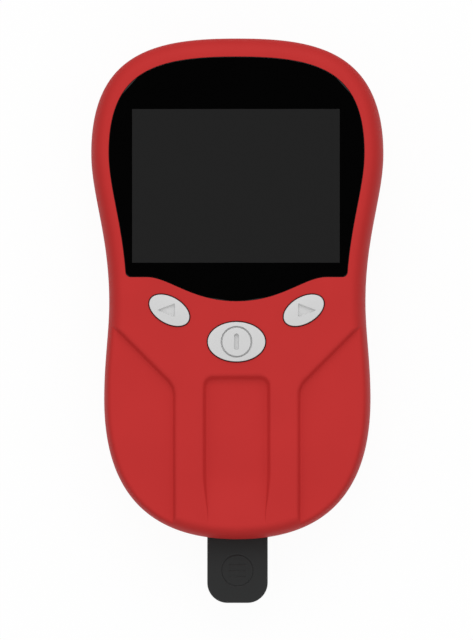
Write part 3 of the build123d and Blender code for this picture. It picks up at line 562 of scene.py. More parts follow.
def front_casing():
    """The upper half: its sculpted face, the window's seat, the key holes, and the posts inside."""
    skin = Skin()
    crest = crest_height(EDGE[:, 1])
    shoulder = rim(0, crest - roll_tall(EDGE[:, 1]) * roll_radius(EDGE[:, 1]))
    seat = window_loop(WINDOW_GAP + 0.06, FRONT_Z)
    holes = [oval(key, KEY_HOLE_GAP + 0.04, FRONT_Z) for key in KEYS]
    guards = [window_loop(WINDOW_GAP + 0.3, 0), *(oval(key, 0.55, 0) for key in KEYS)]
    lines = front_lines() + [closed_line(loop) for loop in guards]
    skin.sheet([shoulder, seat, *holes], lines, front_grid(), front_height)
    low = PARTING_Z + 0.1
    skin.band(shoulder, rim(0, low + SEAM_EDGE), rim(SEAM_EDGE, low), rim(0.95, low), rim(0.95, low + 1.25),
              rim(WALL, low + 1.25), rim(WALL, CEILING_Z - 2.5), rim(3.8, CEILING_Z))
    skin.band(seat, window_loop(WINDOW_GAP + 0.02, FRONT_Z - 0.02), window_loop(WINDOW_GAP, FRONT_Z - 0.06),
              window_loop(WINDOW_GAP, LEDGE_Z))
    half_x, half_y = SCREEN_HALF
    aperture = box_loop(half_x + 0.7, SCREEN_Y - half_y - 0.7, SCREEN_Y + half_y + 0.7, LEDGE_Z)
    skin.sheet([window_loop(WINDOW_GAP, LEDGE_Z), aperture])
    skin.band(aperture, at(aperture, CEILING_Z))
    ceiling_holes = [oval(key, KEY_HOLE_GAP, CEILING_Z) for key in KEYS]
    for hole, key, ceiling_hole in zip(holes, KEYS, ceiling_holes):
        skin.band(hole, oval(key, KEY_HOLE_GAP + 0.01, FRONT_Z - 0.01),
                  oval(key, KEY_HOLE_GAP, FRONT_Z - 0.04), ceiling_hole)
    skin.sheet([rim(3.8, CEILING_Z), at(aperture, CEILING_Z), *ceiling_holes])
    casing = skin.piece("front_casing")
    posts, bores = Skin(), Skin()
    for place in CASE_SCREWS:
        turned(posts, place, [(3.2, low), (3.2, CEILING_Z + 0.8)])
        turned(bores, place, [(1.3, low - 1), (1.3, 20.4)])
    for place in BOARD_POSTS:
        turned(posts, place, [(2.2, 19.3), (2.2, CEILING_Z + 0.8)])
        turned(bores, place, [(1.0, 18), (1.0, 22.8)])
    brick(bores, *TRAY_SLOT)
    brick(bores, *PORT_HOLE)
    return carve(casing, posts, bores)


def back_height(points):
    """The back's height: flat, with a rolled edge."""
    distance, _ = edge_distance(points)
    reach = np.clip(BACK_ROLL - distance, 0, BACK_ROLL)
    return BACK_Z + BACK_ROLL - np.sqrt(BACK_ROLL**2 - reach**2)


def back_casing():
    """The lower half: the door's opening, the battery bay, posts, screw seats and foot pockets."""
    skin = Skin()
    shoulder = rim(0, BACK_Z + BACK_ROLL)
    rings = roll_rings(BACK_ROLL)
    for places, radius in ((FEET, 4.6), (CASE_SCREWS, 2.65), (SOUND_HOLES, 1.2)):
        rings += [closed_line(circle(place, radius, 0)) for place in places]

    def opening(grow, z):
        return box_loop(DOOR_HALF + grow, DOOR_Y[0] - grow, DOOR_Y[1] + grow, z, DOOR_CORNER + grow)

    def label(grow, z):
        return box_loop(LABEL_HALF + grow, LABEL_Y[0] - grow, LABEL_Y[1] + grow, z,
                        DOOR_CORNER + grow, DOOR_CORNER + grow)

    skin.sheet([shoulder, opening(DOOR_GAP + 0.2, BACK_Z), label(0.15, BACK_Z)], rings, height=back_height)
    skin.band(label(0.15, BACK_Z), label(0, BACK_Z + 0.3)).cap(label(0, BACK_Z + 0.3))
    high = PARTING_Z - 0.1
    skin.band(shoulder, rim(0, high - SEAM_EDGE), rim(SEAM_EDGE, high), rim(1.1, high),
              rim(1.1, PARTING_Z + 1.2), rim(WALL, PARTING_Z + 1.2), rim(WALL, 4.5), rim(3.6, FLOOR_Z))
    bay = box_loop(BAY_HALF, *BAY_Y, FLOOR_Z)
    skin.band(opening(DOOR_GAP + 0.2, BACK_Z), opening(DOOR_GAP, BACK_Z + 0.2), opening(DOOR_GAP, FLOOR_Z))
    skin.sheet([opening(DOOR_GAP, FLOOR_Z), bay])
    skin.band(bay, at(bay, BAY_CEILING_Z)).cap(at(bay, BAY_CEILING_Z))
    wall = BAY_WALL
    ledge = box_loop(DOOR_HALF + wall, DOOR_Y[0] - wall, DOOR_Y[1] + wall, FLOOR_Z)
    shaft = box_loop(BAY_HALF + wall, BAY_Y[0] - wall, BAY_Y[1] + wall, FLOOR_Z + wall)
    skin.sheet([rim(3.6, FLOOR_Z), ledge])
    skin.band(ledge, at(ledge, FLOOR_Z + wall)).sheet([at(ledge, FLOOR_Z + wall), shaft])
    skin.band(shaft, at(shaft, BAY_CEILING_Z + wall)).cap(at(shaft, BAY_CEILING_Z + wall))
    casing = skin.piece("back_casing")
    posts, bores = Skin(), Skin()
    for place in CASE_SCREWS:
        turned(posts, place, [(3.7, 2.0), (3.7, high)])
        turned(bores, place, [(2.6, -1), (2.6, BACK_Z), (2.5, BACK_Z + 0.1), (2.5, 4.2), (1.45, 4.2),
                              (1.45, 15)])
    for place in GUIDE_POSTS:
        turned(posts, place, [(2.5, 2.0), (2.5, 10.0)])
        turned(bores, place, [(1.0, 6.3), (1.0, 11)])
    for place in FEET:
        turned(bores, place, [(4.2, -1), (4.2, 1.3)])
    for place in SOUND_HOLES:
        turned(bores, place, [(0.85, -1), (0.85, BACK_Z), (0.7, BACK_Z + 0.15), (0.7, 3.5)])
    for x in (-HOOK_X, HOOK_X):
        brick(bores, x - 3.3, x + 3.3, BAY_Y[1] - 0.4, DOOR_Y[1] + 3.7, FLOOR_Z - 0.05, 6.0)
    brick(bores, *TRAY_SLOT)
    return carve(casing, posts, bores)


def window_plate():
    """The glossy plate over the screen, with a polished bevel."""
    skin = Skin()
    top, low = window_loop(-0.08, LENS_TOP_Z), window_loop(0, LENS_BOTTOM_Z)
    skin.sheet([top])
    skin.band(top, window_loop(-0.02, LENS_TOP_Z - 0.02), window_loop(0, LENS_TOP_Z - 0.08), low)
    return skin.sheet([low]).piece("window_plate", 60)


# Keys

KEY_TOP_Z = 28.0
KEY_EDGE = 0.2
KEY_CROWN = 0.3
KEY_COLLAR = 0.2
# Below this height a key is painted black: painted shade in the gap round it
COLLAR_SHADE_Z = 26.95
FLANGE = 0.9
FLANGE_Z = (22.3, 23.2)
POST_RADIUS = 1.5
POST_Z = 22.0
ARROW_TIP = 3.64
ARROW_BASE = -1.58
ARROW_LENGTH = 5.22
ARROW_HALF = 1.98
ARROW_DEPTH = 0.72
ARROW_WALL = 0.26
RING_DEPTH = 0.8
RING_RADIUS = 4.15
RING_HALF = 0.25
BAR_HALF = (0.675, 2.3)
BAR_DEPTH = 0.85


def bar_loop(centre, grow):
    """The power sign's bar: a slot with round ends."""
    turn = np.radians(np.linspace(0, 180, 13))
    radius = BAR_HALF[0] + grow
    cap = np.column_stack([radius * np.cos(turn), BAR_HALF[1] - BAR_HALF[0] + radius * np.sin(turn)])
    return np.vstack([cap, -cap]) + centre


def arrow_loop(centre, way, grow):
    """The arrow sign: a triangle that points away from the middle, with slightly round corners."""
    slope = math.hypot(ARROW_HALF, ARROW_LENGTH) / ARROW_HALF

    def triangle(grow):
        tip, base = ARROW_TIP + grow * slope, ARROW_BASE - grow
        rise = (tip - base) * ARROW_HALF / ARROW_LENGTH
        return rounded_path([(tip, 0), (base, rise), (base, -rise)], [0.15] * 3, arc_steps=3)

    return filled(triangle(grow), 0.4, triangle(0)) * (way, 1) + centre


def key_piece(key):
    """One key: a crowned oval cap with a rolled edge and a sunk sign, its collar, flange and post."""
    (x, y), (long_half, short_half), tilt = KEYS[key]
    c, s = math.cos(math.radians(tilt)), math.sin(math.radians(tilt))

    def height(points):
        flat = (points[:, :2] - (x, y)) @ np.array([[c, -s], [s, c]])
        return KEY_TOP_Z - KEY_CROWN * ((flat[:, 0] / long_half)**2 + (flat[:, 1] / short_half)**2)

    def crowned(loop, drop=0.0):
        return at(loop, height(loop) - drop)

    def sunk(skin, loop, floor_loop, depth):
        """A steep-walled recess with a flat floor."""
        floor = at(floor_loop, height(floor_loop).min() - depth)
        skin.band(crowned(loop), floor).cap(floor)

    skin = Skin()
    inner = oval(key, -KEY_EDGE, 0)
    rolled = []
    for turn in np.radians(np.arange(90, -1, -15)):
        loop = oval(key, -KEY_EDGE * (1 - math.cos(turn)), 0)
        rolled.append(at(loop, height(inner) - KEY_EDGE * (1 - math.sin(turn))))
    grid = np.array([(x + a, y + b) for a in np.arange(-8, 8.1, 0.7) for b in np.arange(-6, 6.1, 0.7)])
    grid = grid[inside(grid, oval(key, -0.8, 0))]
    if key == "power_key":
        steps = (RING_HALF + 0.15, RING_HALF, -RING_HALF, -RING_HALF - 0.15)
        rings = [circle((x, y), RING_RADIUS + step, 0, 80) for step in steps]
        reach = np.hypot(*(grid - (x, y)).T)
        bar = bar_loop((x, y), 0)
        skin.sheet([rolled[0], crowned(rings[1])], [closed_line(rings[0])],
                   grid[reach > RING_RADIUS + RING_HALF + 0.3], height)
        floor = [crowned(circle((x, y), RING_RADIUS + step, 0, 80), RING_DEPTH) for step in (0.12, -0.12)]
        skin.band(crowned(rings[1]), *floor, crowned(rings[2]))
        middle = grid[(reach < RING_RADIUS - RING_HALF - 0.3) & ~inside(grid, bar_loop((x, y), 0.3))]
        guards = [closed_line(rings[3]), closed_line(bar_loop((x, y), 0.15))]
        skin.sheet([crowned(rings[2]), crowned(bar)], guards, middle, height)
        sunk(skin, bar, bar_loop((x, y), -0.08), BAR_DEPTH)
    else:
        way = 1 if key == "right_key" else -1
        arrow = arrow_loop((x, y), way, 0)
        clear = ~inside(grid, arrow_loop((x, y), way, 0.3))
        guard = closed_line(arrow_loop((x, y), way, 0.15))
        skin.sheet([rolled[0], crowned(arrow)], [guard], grid[clear], height)
        sunk(skin, arrow, arrow_loop((x, y), way, -ARROW_WALL), ARROW_DEPTH)
    low, high = FLANGE_Z
    post, neck = circle((x, y), POST_RADIUS, POST_Z, 32), oval(key, KEY_COLLAR, high)
    flange_low, flange_high = oval(key, FLANGE, low), oval(key, FLANGE, high)
    skin.band(*rolled, oval(key, 0, COLLAR_SHADE_Z), oval(key, KEY_COLLAR, COLLAR_SHADE_Z), neck)
    skin.sheet([flange_high, neck])
    skin.band(flange_high, flange_low)
    skin.sheet([flange_low, at(post, low)])
    skin.band(at(post, low), post).cap(post)
    return skin.piece(key.replace("_key", "_key_cap"), 40)


# The battery door

DOOR_GROOVE = ((-0.45, -0.1), (0.45, -0.1), (0.3, 0.25), (0.12, 0.4), (-0.12, 0.4), (-0.3, 0.25))


def battery_cover():
    """The door: a flat plate with a round head edge, two hooks, and a grooved latch tongue."""
    skin = Skin()
    pivot_y = DOOR_Y[1] - 1

    def half_depth(y):
        return np.sqrt(1 - np.clip(y - pivot_y, 0, 0.97)**2)

    def plan(grow):
        return rounded_path([(-DOOR_HALF - grow, DOOR_Y[0] - grow), (DOOR_HALF + grow, DOOR_Y[0] - grow),
                             (DOOR_HALF + grow, DOOR_Y[1]), (-DOOR_HALF - grow, DOOR_Y[1])],
                            [DOOR_CORNER + grow] * 2 + [0] * 2)

    def loop(grow, lift, upper):
        flat = filled(plan(grow), 0.3, plan(0))
        reach = half_depth(flat[:, 1]) * (1 - lift)
        return at(flat, BACK_Z + 1 + (reach if upper else -reach))

    lines = [np.array([(-DOOR_HALF + 0.3, y), (DOOR_HALF - 0.3, y)]) for y in
             (pivot_y - 0.3, pivot_y, *(pivot_y + np.sin(np.radians((18, 36, 54, 72)))))]
    guard = closed_line(loop(-0.6, 0.0, True))
    guard[:, 1] = np.minimum(guard[:, 1], DOOR_Y[1] - 0.03)
    lines.append(guard)
    for upper in (False, True):
        edge = loop(-0.18, 0.0, upper)
        way = 1 if upper else -1
        skin.sheet([edge], lines, height=lambda p: BACK_Z + 1 + way * half_depth(p[:, 1]))
        skin.band(edge, loop(-0.05, 0.05, upper), loop(0, 0.18, upper))
    skin.band(loop(0, 0.18, False), loop(0, 0.18, True))
    cover = skin.piece("battery_cover_plate")
    hooks, slots = Skin(), Skin()
    for x in (-HOOK_X, HOOK_X):
        side = [(127.5, 1.4), (129.2, 1.4), (129.2, 3.0), (131.5, 3.0), (131.8, 3.3), (131.8, 4.0),
                (127.5, 4.0)]
        hooks.solid(*(np.array([(x + dx, y, z) for y, z in side]) for dx in (-3, 3)))
    for x in (-6.4, 6.4):
        brick(slots, x - 0.4, x + 0.4, 71, 81.4, -0.5, 3.5)
    for count in range(5):
        y = DOOR_Y[0] + 1.2 * (count + 1)
        run, rise = np.array(DOOR_GROOVE).T
        slots.solid(*(np.column_stack([np.full(6, x), y + run, BACK_Z + rise]) for x in (-5.2, 5.2)))
    return carve(cover, hooks, slots)


# The strip tray

TRAY_Z = (11.7, 14.9)
TRAY_HEAD_Y = 46.05
TRAY_OUT = 17.8
TRAY_HALF = 8.4
TRAY_CORNER = 5.6
EAR_HALF = 9.1
EAR_Y = 41.05
POCKET_Y = (9.25, 37.85)
POCKET_Z = 14.0
POCKET_HALF = 3.1
SCOOP_RADIUS = 4.5
GRIP_Y = -8.74
GRIP_DEPTH = 0.18
GRIP_RING = 4.35
GRIP_GROOVES_Y = (-1.7, 0, 1.7)
GRIP_GROOVE_REACH = 2.2
TRAY_EDGE = 0.5


def tray_loop(inset, z):
    """The tray's edge: round corners at the tab, and two small ears at its head end."""
    def plan(inset):
        half, ear = TRAY_HALF - inset, EAR_HALF - inset
        tail, ear_y, head = inset - TRAY_OUT, EAR_Y + inset, TRAY_HEAD_Y - inset
        corners = [(-half, tail), (half, tail), (half, ear_y), (ear, ear_y),
                   (ear, head), (-ear, head), (-ear, ear_y), (-half, ear_y)]
        return rounded_path(corners, [TRAY_CORNER - inset] * 2 + [0] * 6, arc_steps=14)

    return at(filled(plan(inset), 1.0, plan(0)), z)


def grip_height(points):
    """The tray's top: flat, with a shallow ring and three short grooves for the fingertip."""
    x, y = np.abs(points[:, 0]), points[:, 1] - GRIP_Y
    ring = 0.25 - np.abs(np.hypot(x, y) - GRIP_RING)
    groove = np.full(len(points), -1.0)
    for middle in GRIP_GROOVES_Y:
        groove = np.maximum(groove, 0.3 - np.hypot(np.maximum(x - GRIP_GROOVE_REACH, 0), y - middle))
    return TRAY_Z[1] - GRIP_DEPTH * smooth(np.maximum(ring, groove) / 0.25)


def strip_tray():
    """The sliding tray: a tab with rolled edges and a fingertip grip, and a pocket for the strip."""
    steps = (-0.4, -0.25, -0.17, -0.09, 0, 0.09, 0.17, 0.25, 0.4)
    lines = [circle((0, GRIP_Y), GRIP_RING + step, 0, 80) for step in steps]
    for middle in GRIP_GROOVES_Y:
        for radius in (0.45, 0.3, 0.22, 0.14, 0.06):
            turn = np.radians(np.linspace(-90, 90, 9))
            cap = np.column_stack([GRIP_GROOVE_REACH + radius * np.cos(turn), radius * np.sin(turn)])
            lines.append(np.vstack([cap, -cap]) + (0, GRIP_Y + middle))
    half, radius = POCKET_HALF, SCOOP_RADIUS
    reach = math.sqrt(radius**2 - half**2)
    turn = np.linspace(math.atan2(reach, -half), math.atan2(reach, half) + 2 * math.pi, 33)
    scoop = np.column_stack([radius * np.cos(turn), POCKET_Y[0] + radius * np.sin(turn)])
    pocket = at(np.vstack([scoop, (half, POCKET_Y[1]), (-half, POCKET_Y[1])]), TRAY_Z[1])
    skin = Skin()
    rolls = [(TRAY_EDGE * (1 - math.cos(turn)), TRAY_EDGE * (1 - math.sin(turn)))
             for turn in np.radians(np.arange(90, -1, -15))]
    tops = [tray_loop(inset, TRAY_Z[1] - fall) for inset, fall in rolls]
    lows = [tray_loop(inset, TRAY_Z[0] + fall) for inset, fall in rolls]
    lines.append(tray_loop(TRAY_EDGE + 0.2, 0))
    grid = np.array([(a, b) for a in np.arange(-7.2, 7.3, 1.2) for b in np.arange(-16.4, 3, 1.2)])
    grid = grid[np.abs(np.hypot(grid[:, 0], grid[:, 1] - GRIP_Y) - GRIP_RING) > 0.6]
    grid = grid[(np.abs(grid[:, 1] - GRIP_Y) > 2.3) | (np.abs(grid[:, 0]) > 3)]
    skin.sheet([tops[0], pocket], [closed_line(line) for line in lines], grid, grip_height)
    skin.band(pocket, at(pocket, POCKET_Z)).cap(at(pocket, POCKET_Z))
    skin.band(*tops, *lows[::-1]).sheet([lows[0]])
    return skin.piece("sliding_tray", 35)


# Dry cells

CELL_X = 10.9
CELL_Z = 8.65
CELL_RADIUS = 5.25
# From the bay's end wall to a cell's plain end, and where its sleeve starts and ends along it
CELL_GAP = 5.3
SLEEVE = (0.5, 42.6)


def dry_cell(name, x, plain_y, way):
    """A round cell lying along the bay: crimped ends, a sleeve, and a nub at its far end."""
    steps = [(3.2, 0.0), (4.4, 0.05), (4.7, 0.25), (4.95, 0.1), (5.15, 0.15), (CELL_RADIUS, 0.45),
             (CELL_RADIUS, 42.7), (5.1, 43.1), (4.8, 43.2), (4.5, 42.9), (2.6, 43.0), (2.3, 43.3),
             (1.9, 43.4), (1.9, 44.35), (1.7, 44.5)]
    turn = np.linspace(0, 2 * math.pi, 48, endpoint=False)
    loops = [np.column_stack([x + radius * np.cos(turn), np.full(48, plain_y + way * along),
                              CELL_Z + radius * np.sin(turn)]) for radius, along in steps]
    return Skin().solid(*loops).piece(name)


# Node trees

def add_node(tree, kind, links=(), **settings):
    """Adds a node with its settings. A link comes from a node's first output, a socket or a plain value."""
    made = tree.nodes.new(kind)
    for name, value in settings.items():
        setattr(made, name, value)
    for key, value in dict(links).items():
        if isinstance(value, bpy.types.Node):
            value = value.outputs[0]
        if isinstance(value, bpy.types.NodeSocket):
            tree.links.new(value, made.inputs[key])
        else:
            made.inputs[key].default_value = value
    return made


CLOUD_MM = 14


def finish_tree(name, colour, roughness, grain_mm, grain_depth_mm, tone, rough_spread=0.06, **settings):
    """A finish: a base colour with a slight cloudy tone, uneven gloss, and a fine moulded or rolled grain."""
    material = bpy.data.materials.new(name)
    material.use_nodes = True
    tree = material.node_tree
    tree.nodes.clear()
    place = add_node(tree, "ShaderNodeTexCoord").outputs["Object"]
    grain = add_node(tree, "ShaderNodeTexNoise", {
        "Vector": place, "Scale": 1 / (grain_mm * METRES), "Detail": 3.0})
    cloud = add_node(tree, "ShaderNodeTexNoise", {
        "Vector": place, "Scale": 1 / (CLOUD_MM * METRES), "Detail": 2.0})
    rgb = np.array(linear(colour)[:3])
    ramp = add_node(tree, "ShaderNodeValToRGB", {"Fac": cloud})
    for stop, position, share in zip(ramp.color_ramp.elements, (0.35, 0.65), (1 - tone, 1 + tone)):
        stop.position = position
        stop.color = (*np.minimum(rgb * share, 1.0), 1.0)
    gloss = add_node(tree, "ShaderNodeMapRange", {
        "Value": grain, "To Min": roughness - rough_spread, "To Max": roughness + rough_spread})
    bump = add_node(tree, "ShaderNodeBump", {
        "Height": grain, "Strength": 1.0, "Distance": grain_depth_mm * METRES})
    settings = {socket.replace("_", " "): value for socket, value in settings.items()}
    shader = add_node(tree, "ShaderNodeBsdfPrincipled", {
        "Base Color": ramp, "Roughness": gloss, "Normal": bump, **settings})
    add_node(tree, "ShaderNodeOutputMaterial", {"Surface": shader})
    return material


# Red ABS, moulded in a finely eroded tool: almost matt, with a faint sheen and no visible grain from afar.
red_abs = finish_tree("moulded_red_abs", "BE3130", 0.5, 0.35, 0.006, tone=0.012, Specular_IOR_Level=0.05)
# Light grey ABS keys: satin, a little glossier where fingers polish them.
grey_abs = finish_tree("moulded_grey_abs_key", "D2D2D2", 0.3, 0.3, 0.004, tone=0.01)
# Charcoal polycarbonate tray: a dark matt moulding.
charcoal = finish_tree("moulded_charcoal_polycarbonate", "272828", 0.5, 0.3, 0.006, tone=0.03,
                       Specular_IOR_Level=0.2)
# Thermoplastic rubber feet: dull, with an open grain. The keys' collars take it too, as painted shade in the
# gaps round the keys.
black_rubber_and_gap_shade = finish_tree("moulded_black_rubber_and_gap_shade", "111112", 0.8, 0.5, 0.03, tone=0.08)
# Closed-cell foam and its adhesive frame: dull and porous.
foam = finish_tree("closed_cell_foam", "2A2A2B", 0.9, 0.6, 0.1, tone=0.12)
# The display module's front polariser: dark and smooth.
display = finish_tree("display_polariser", "232322", 0.12, 2.0, 0.001, tone=0.02)
# Black glass-filled nylon inside: matt, with a flow-marked grain.
inner_nylon = finish_tree("black_glass_filled_nylon", "1E1E1F", 0.6, 0.5, 0.02, tone=0.1)
# Polyimide flat cable: amber film with a soft gloss.
flat_cable = finish_tree("polyimide_film_cable", "B26A1E", 0.3, 1.0, 0.004, tone=0.08)
# Ivory nylon connector housings.
ivory_nylon = finish_tree("ivory_nylon_connector", "DED8C8", 0.45, 0.4, 0.006, tone=0.03)
# Green solder mask over copper: glossy lacquer.
solder_mask = finish_tree("green_solder_mask", "14603A", 0.28, 1.2, 0.02, tone=0.12)
# Epoxy chip packages: dull black.
epoxy = finish_tree("black_epoxy_package", "1B1B1C", 0.55, 0.25, 0.01, tone=0.06)
# Zinc-plated steel screws: bright, with a faint blue cast and fine tool marks.
zinc_steel = finish_tree("zinc_plated_steel", "B9BCC0", 0.3, 0.25, 0.004, tone=0.05, Metallic=1.0)
# Nickel-plated spring steel: smooth and bright.
nickel_steel = finish_tree("nickel_plated_spring_steel", "C9C5BC", 0.2, 0.5, 0.002, tone=0.04, Metallic=1.0)
# Shrink-sleeved dry cell: a plain grey printed film over steel.
cell_sleeve = finish_tree("shrink_sleeved_dry_cell", "6E7378", 0.32, 1.5, 0.01, tone=0.05, Metallic=0.4)
# Clear acrylic optics: hard and polished.
clear_acrylic = finish_tree("clear_acrylic_optics", "EEF2F2", 0.05, 1.0, 0.0005, tone=0.01, rough_spread=0.02,
                            Transmission_Weight=0.9, IOR=1.49)
# White polyester test strip: a soft paper-like film.
polyester_strip = finish_tree("white_polyester_strip", "E6E5E0", 0.5, 0.2, 0.006, tone=0.02)


def printed_acrylic():
    """Acrylic printed black on its back, and dark grey over the screen under the gloss."""
    material = finish_tree("back_printed_acrylic", "030303", 0.05, 3.0, 0.0004, tone=0.05, rough_spread=0.02,
                           IOR=1.49)
    tree = material.node_tree
    left, right, low, high = PRINT_OPENING
    middle = ((left + right) / 2 * METRES, ((low + high) / 2 + TAIL_Y) * METRES, 0)
    halves = (right - left) / 2 * METRES, (high - low) / 2 * METRES
    place = add_node(tree, "ShaderNodeTexCoord").outputs["Object"]
    shifted = add_node(tree, "ShaderNodeVectorMath", {0: place, 1: middle}, operation="SUBTRACT")
    spread = add_node(tree, "ShaderNodeVectorMath", {0: shifted}, operation="ABSOLUTE")
    axes = add_node(tree, "ShaderNodeSeparateXYZ", {0: spread})
    masks = [add_node(tree, "ShaderNodeMath", {0: axes.outputs[i], 1: halves[i]}, operation="LESS_THAN")
             for i in (0, 1)]
    both = add_node(tree, "ShaderNodeMath", {0: masks[0], 1: masks[1]}, operation="MULTIPLY")
    colour = tree.nodes["Principled BSDF"].inputs["Base Color"]
    mixed = add_node(tree, "ShaderNodeMixRGB", {
        "Fac": both, "Color1": colour.links[0].from_socket, "Color2": linear("232323")})
    tree.links.new(mixed.outputs[0], colour)
    return material


window_acrylic = printed_acrylic()


def paint(obj, *materials):
    """Gives a piece its materials."""
    obj.data.materials.clear()
    for material in materials:
        obj.data.materials.append(material)
    return obj


def second_finish(obj, axis, limits):
    """Gives the second material to faces whose middles lie outside two limits on an axis, in millimetres."""
    for face in obj.data.polygons:
        place = face.center[axis] / METRES
        face.material_index = 0 if limits[0] < place < limits[1] else 1


def place_piece(obj, materials, body, slot, *nodes):
    """Finishes a piece: its materials, its body, and the nodes that it stands for, which it hides. The slot
    is not used.
    """
    paint(obj, *materials)
    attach(obj, body)
    if nodes:
        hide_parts(*nodes)
    return obj


place_piece(front_casing(), [red_abs], "housing", "shell_red", "front_shell")
place_piece(back_casing(), [red_abs], "housing", "shell_red", "back_shell")
place_piece(window_plate(), [window_acrylic], "housing", "window_black", "display_window")
for key in KEYS:
    cap = place_piece(key_piece(key), [grey_abs, black_rubber_and_gap_shade], key.replace("_key", "_button"), "key_grey", key)
    # Faces under the collar's top take the black rubber: painted shade that darkens the gap round each key
    second_finish(cap, 2, (COLLAR_SHADE_Z + 0.01, KEY_TOP_Z + 1))
place_piece(battery_cover(), [red_abs], "battery_cover", "shell_red", "battery_door")
place_piece(strip_tray(), [charcoal], "strip_drawer", "tray_charcoal", "strip_tray")
for side, x, way in (("left", -CELL_X, 1), ("middle", 0.0, -1), ("right", CELL_X, 1)):
    plain_y = BAY_Y[0] + CELL_GAP if way > 0 else BAY_Y[1] - CELL_GAP
    ends = sorted(plain_y + way * along + TAIL_Y for along in SLEEVE)
    cell = dry_cell("dry_cell_" + side, x, plain_y, way)
    place_piece(cell, [cell_sleeve, nickel_steel], "housing", "cell_jacket", "battery_" + side)
    second_finish(cell, 1, ends)


# What repeats: screws, feet and coil springs, each made by one tree and set at its places

def sized_tree(name, sizes):
    """An empty Geometry Nodes tree whose inputs are the places, the named sizes, a turn and a finish."""
    tree = bpy.data.node_groups.new(name, "GeometryNodeTree")
    face = tree.interface
    face.new_socket("Places", in_out="INPUT", socket_type="NodeSocketGeometry")
    for size in sizes:
        face.new_socket(size, in_out="INPUT", socket_type="NodeSocketFloat")
    face.new_socket("Turn", in_out="INPUT", socket_type="NodeSocketRotation")
    face.new_socket("Finish", in_out="INPUT", socket_type="NodeSocketMaterial")
    face.new_socket("Pieces", in_out="OUTPUT", socket_type="NodeSocketGeometry")
    given = add_node(tree, "NodeGroupInput").outputs
    return tree, given


def set_at_places(tree, given, shapes):
    """Joins the shapes, sets them at every place, and ends the tree with real geometry and its finish."""
    joined = add_node(tree, "GeometryNodeJoinGeometry")
    for shape in reversed(shapes):
        tree.links.new(shape.outputs[0], joined.inputs[0])
    spread = add_node(tree, "GeometryNodeInstanceOnPoints", {
        "Points": given["Places"], "Instance": joined, "Rotation": given["Turn"]})
    real = add_node(tree, "GeometryNodeRealizeInstances", {0: spread})
    finished = add_node(tree, "GeometryNodeSetMaterial", {"Geometry": real, "Material": given["Finish"]})
    add_node(tree, "NodeGroupOutput", {0: finished})
    return tree


def wound(tree, radius, wire, height, turns, sides):
    """A wire wound round the upright axis."""
    coil = add_node(tree, "GeometryNodeCurveSpiral", {
        "Resolution": 24, "Rotations": turns, "Start Radius": radius, "End Radius": radius, "Height": height})
    section = add_node(tree, "GeometryNodeCurvePrimitiveCircle", {"Resolution": sides, "Radius": wire})
    return add_node(tree, "GeometryNodeCurveToMesh", {
        "Curve": coil, "Profile Curve": section, "Fill Caps": True})


def screw_tree():
    """A cross-head screw that points up from the top of its head: a pan head and a threaded shank."""
    tree, given = sized_tree("cross_head_screw", (
        "Crown Radius", "Head Radius", "Head Height", "Cross Length", "Cross Width", "Cross Height",
        "Second Height", "Core Radius", "Shank Length", "Ridge Radius", "Thread Length", "Turns"))
    head = add_node(tree, "GeometryNodeMeshCone", {
        "Vertices": 40, "Radius Bottom": given["Crown Radius"], "Radius Top": given["Head Radius"],
        "Depth": given["Head Height"]})
    sunk = add_node(tree, "GeometryNodeMeshBoolean", {"Mesh 1": head}, operation="DIFFERENCE")
    for sides in (("Cross Length", "Cross Width", "Cross Height"),
                  ("Cross Width", "Cross Length", "Second Height")):
        size = add_node(tree, "ShaderNodeCombineXYZ", {axis: given[side] for axis, side in zip("XYZ", sides)})
        bar = add_node(tree, "GeometryNodeMeshCube", {"Size": size})
        tree.links.new(bar.outputs[0], sunk.inputs["Mesh 2"])
    underside = add_node(tree, "ShaderNodeCombineXYZ", {"Z": given["Head Height"]})
    shank = add_node(tree, "GeometryNodeMeshCone", {
        "Vertices": 24, "Radius Bottom": given["Core Radius"], "Radius Top": given["Core Radius"],
        "Depth": given["Shank Length"]})
    thread = wound(tree, given["Core Radius"], given["Ridge Radius"], given["Thread Length"],
                   given["Turns"], 3)
    raised = [add_node(tree, "GeometryNodeTransform", {"Geometry": shape, "Translation": underside})
              for shape in (shank, thread)]
    return set_at_places(tree, given, [sunk, *raised])


def foot_tree():
    """A round rubber foot: a disc with a drafted edge, a straight part over it, and two rings on its sole."""
    tree, given = sized_tree("rubber_foot", (
        "Sole Radius", "Radius", "Draft Height", "Straight Height", "Inner Ring", "Outer Ring", "Ring Half"))
    disc, straight = (add_node(tree, "GeometryNodeMeshCone", {
        "Vertices": 48, "Radius Bottom": given[low], "Radius Top": given["Radius"], "Depth": given[height]})
        for low, height in (("Sole Radius", "Draft Height"), ("Radius", "Straight Height")))
    above = add_node(tree, "ShaderNodeCombineXYZ", {"Z": given["Draft Height"]})
    shapes = [disc, add_node(tree, "GeometryNodeTransform", {"Geometry": straight, "Translation": above})]
    section = add_node(tree, "GeometryNodeCurvePrimitiveCircle", {
        "Resolution": 8, "Radius": given["Ring Half"]})
    for ring in ("Inner Ring", "Outer Ring"):
        line = add_node(tree, "GeometryNodeCurvePrimitiveCircle", {"Resolution": 48, "Radius": given[ring]})
        shapes.append(add_node(tree, "GeometryNodeCurveToMesh", {"Curve": line, "Profile Curve": section}))
    return set_at_places(tree, given, shapes)


def spring_tree():
    """A coil spring that stands on its places."""
    tree, given = sized_tree("coil_spring", ("Radius", "Wire Radius", "Height", "Turns"))
    coil = wound(tree, given["Radius"], given["Wire Radius"], given["Height"], given["Turns"], 10)
    return set_at_places(tree, given, [coil])


UPWARDS, DOWNWARDS, TO_THE_HEAD = (0.0, 0.0, 0.0), (math.pi, 0.0, 0.0), (-math.pi / 2, 0.0, 0.0)


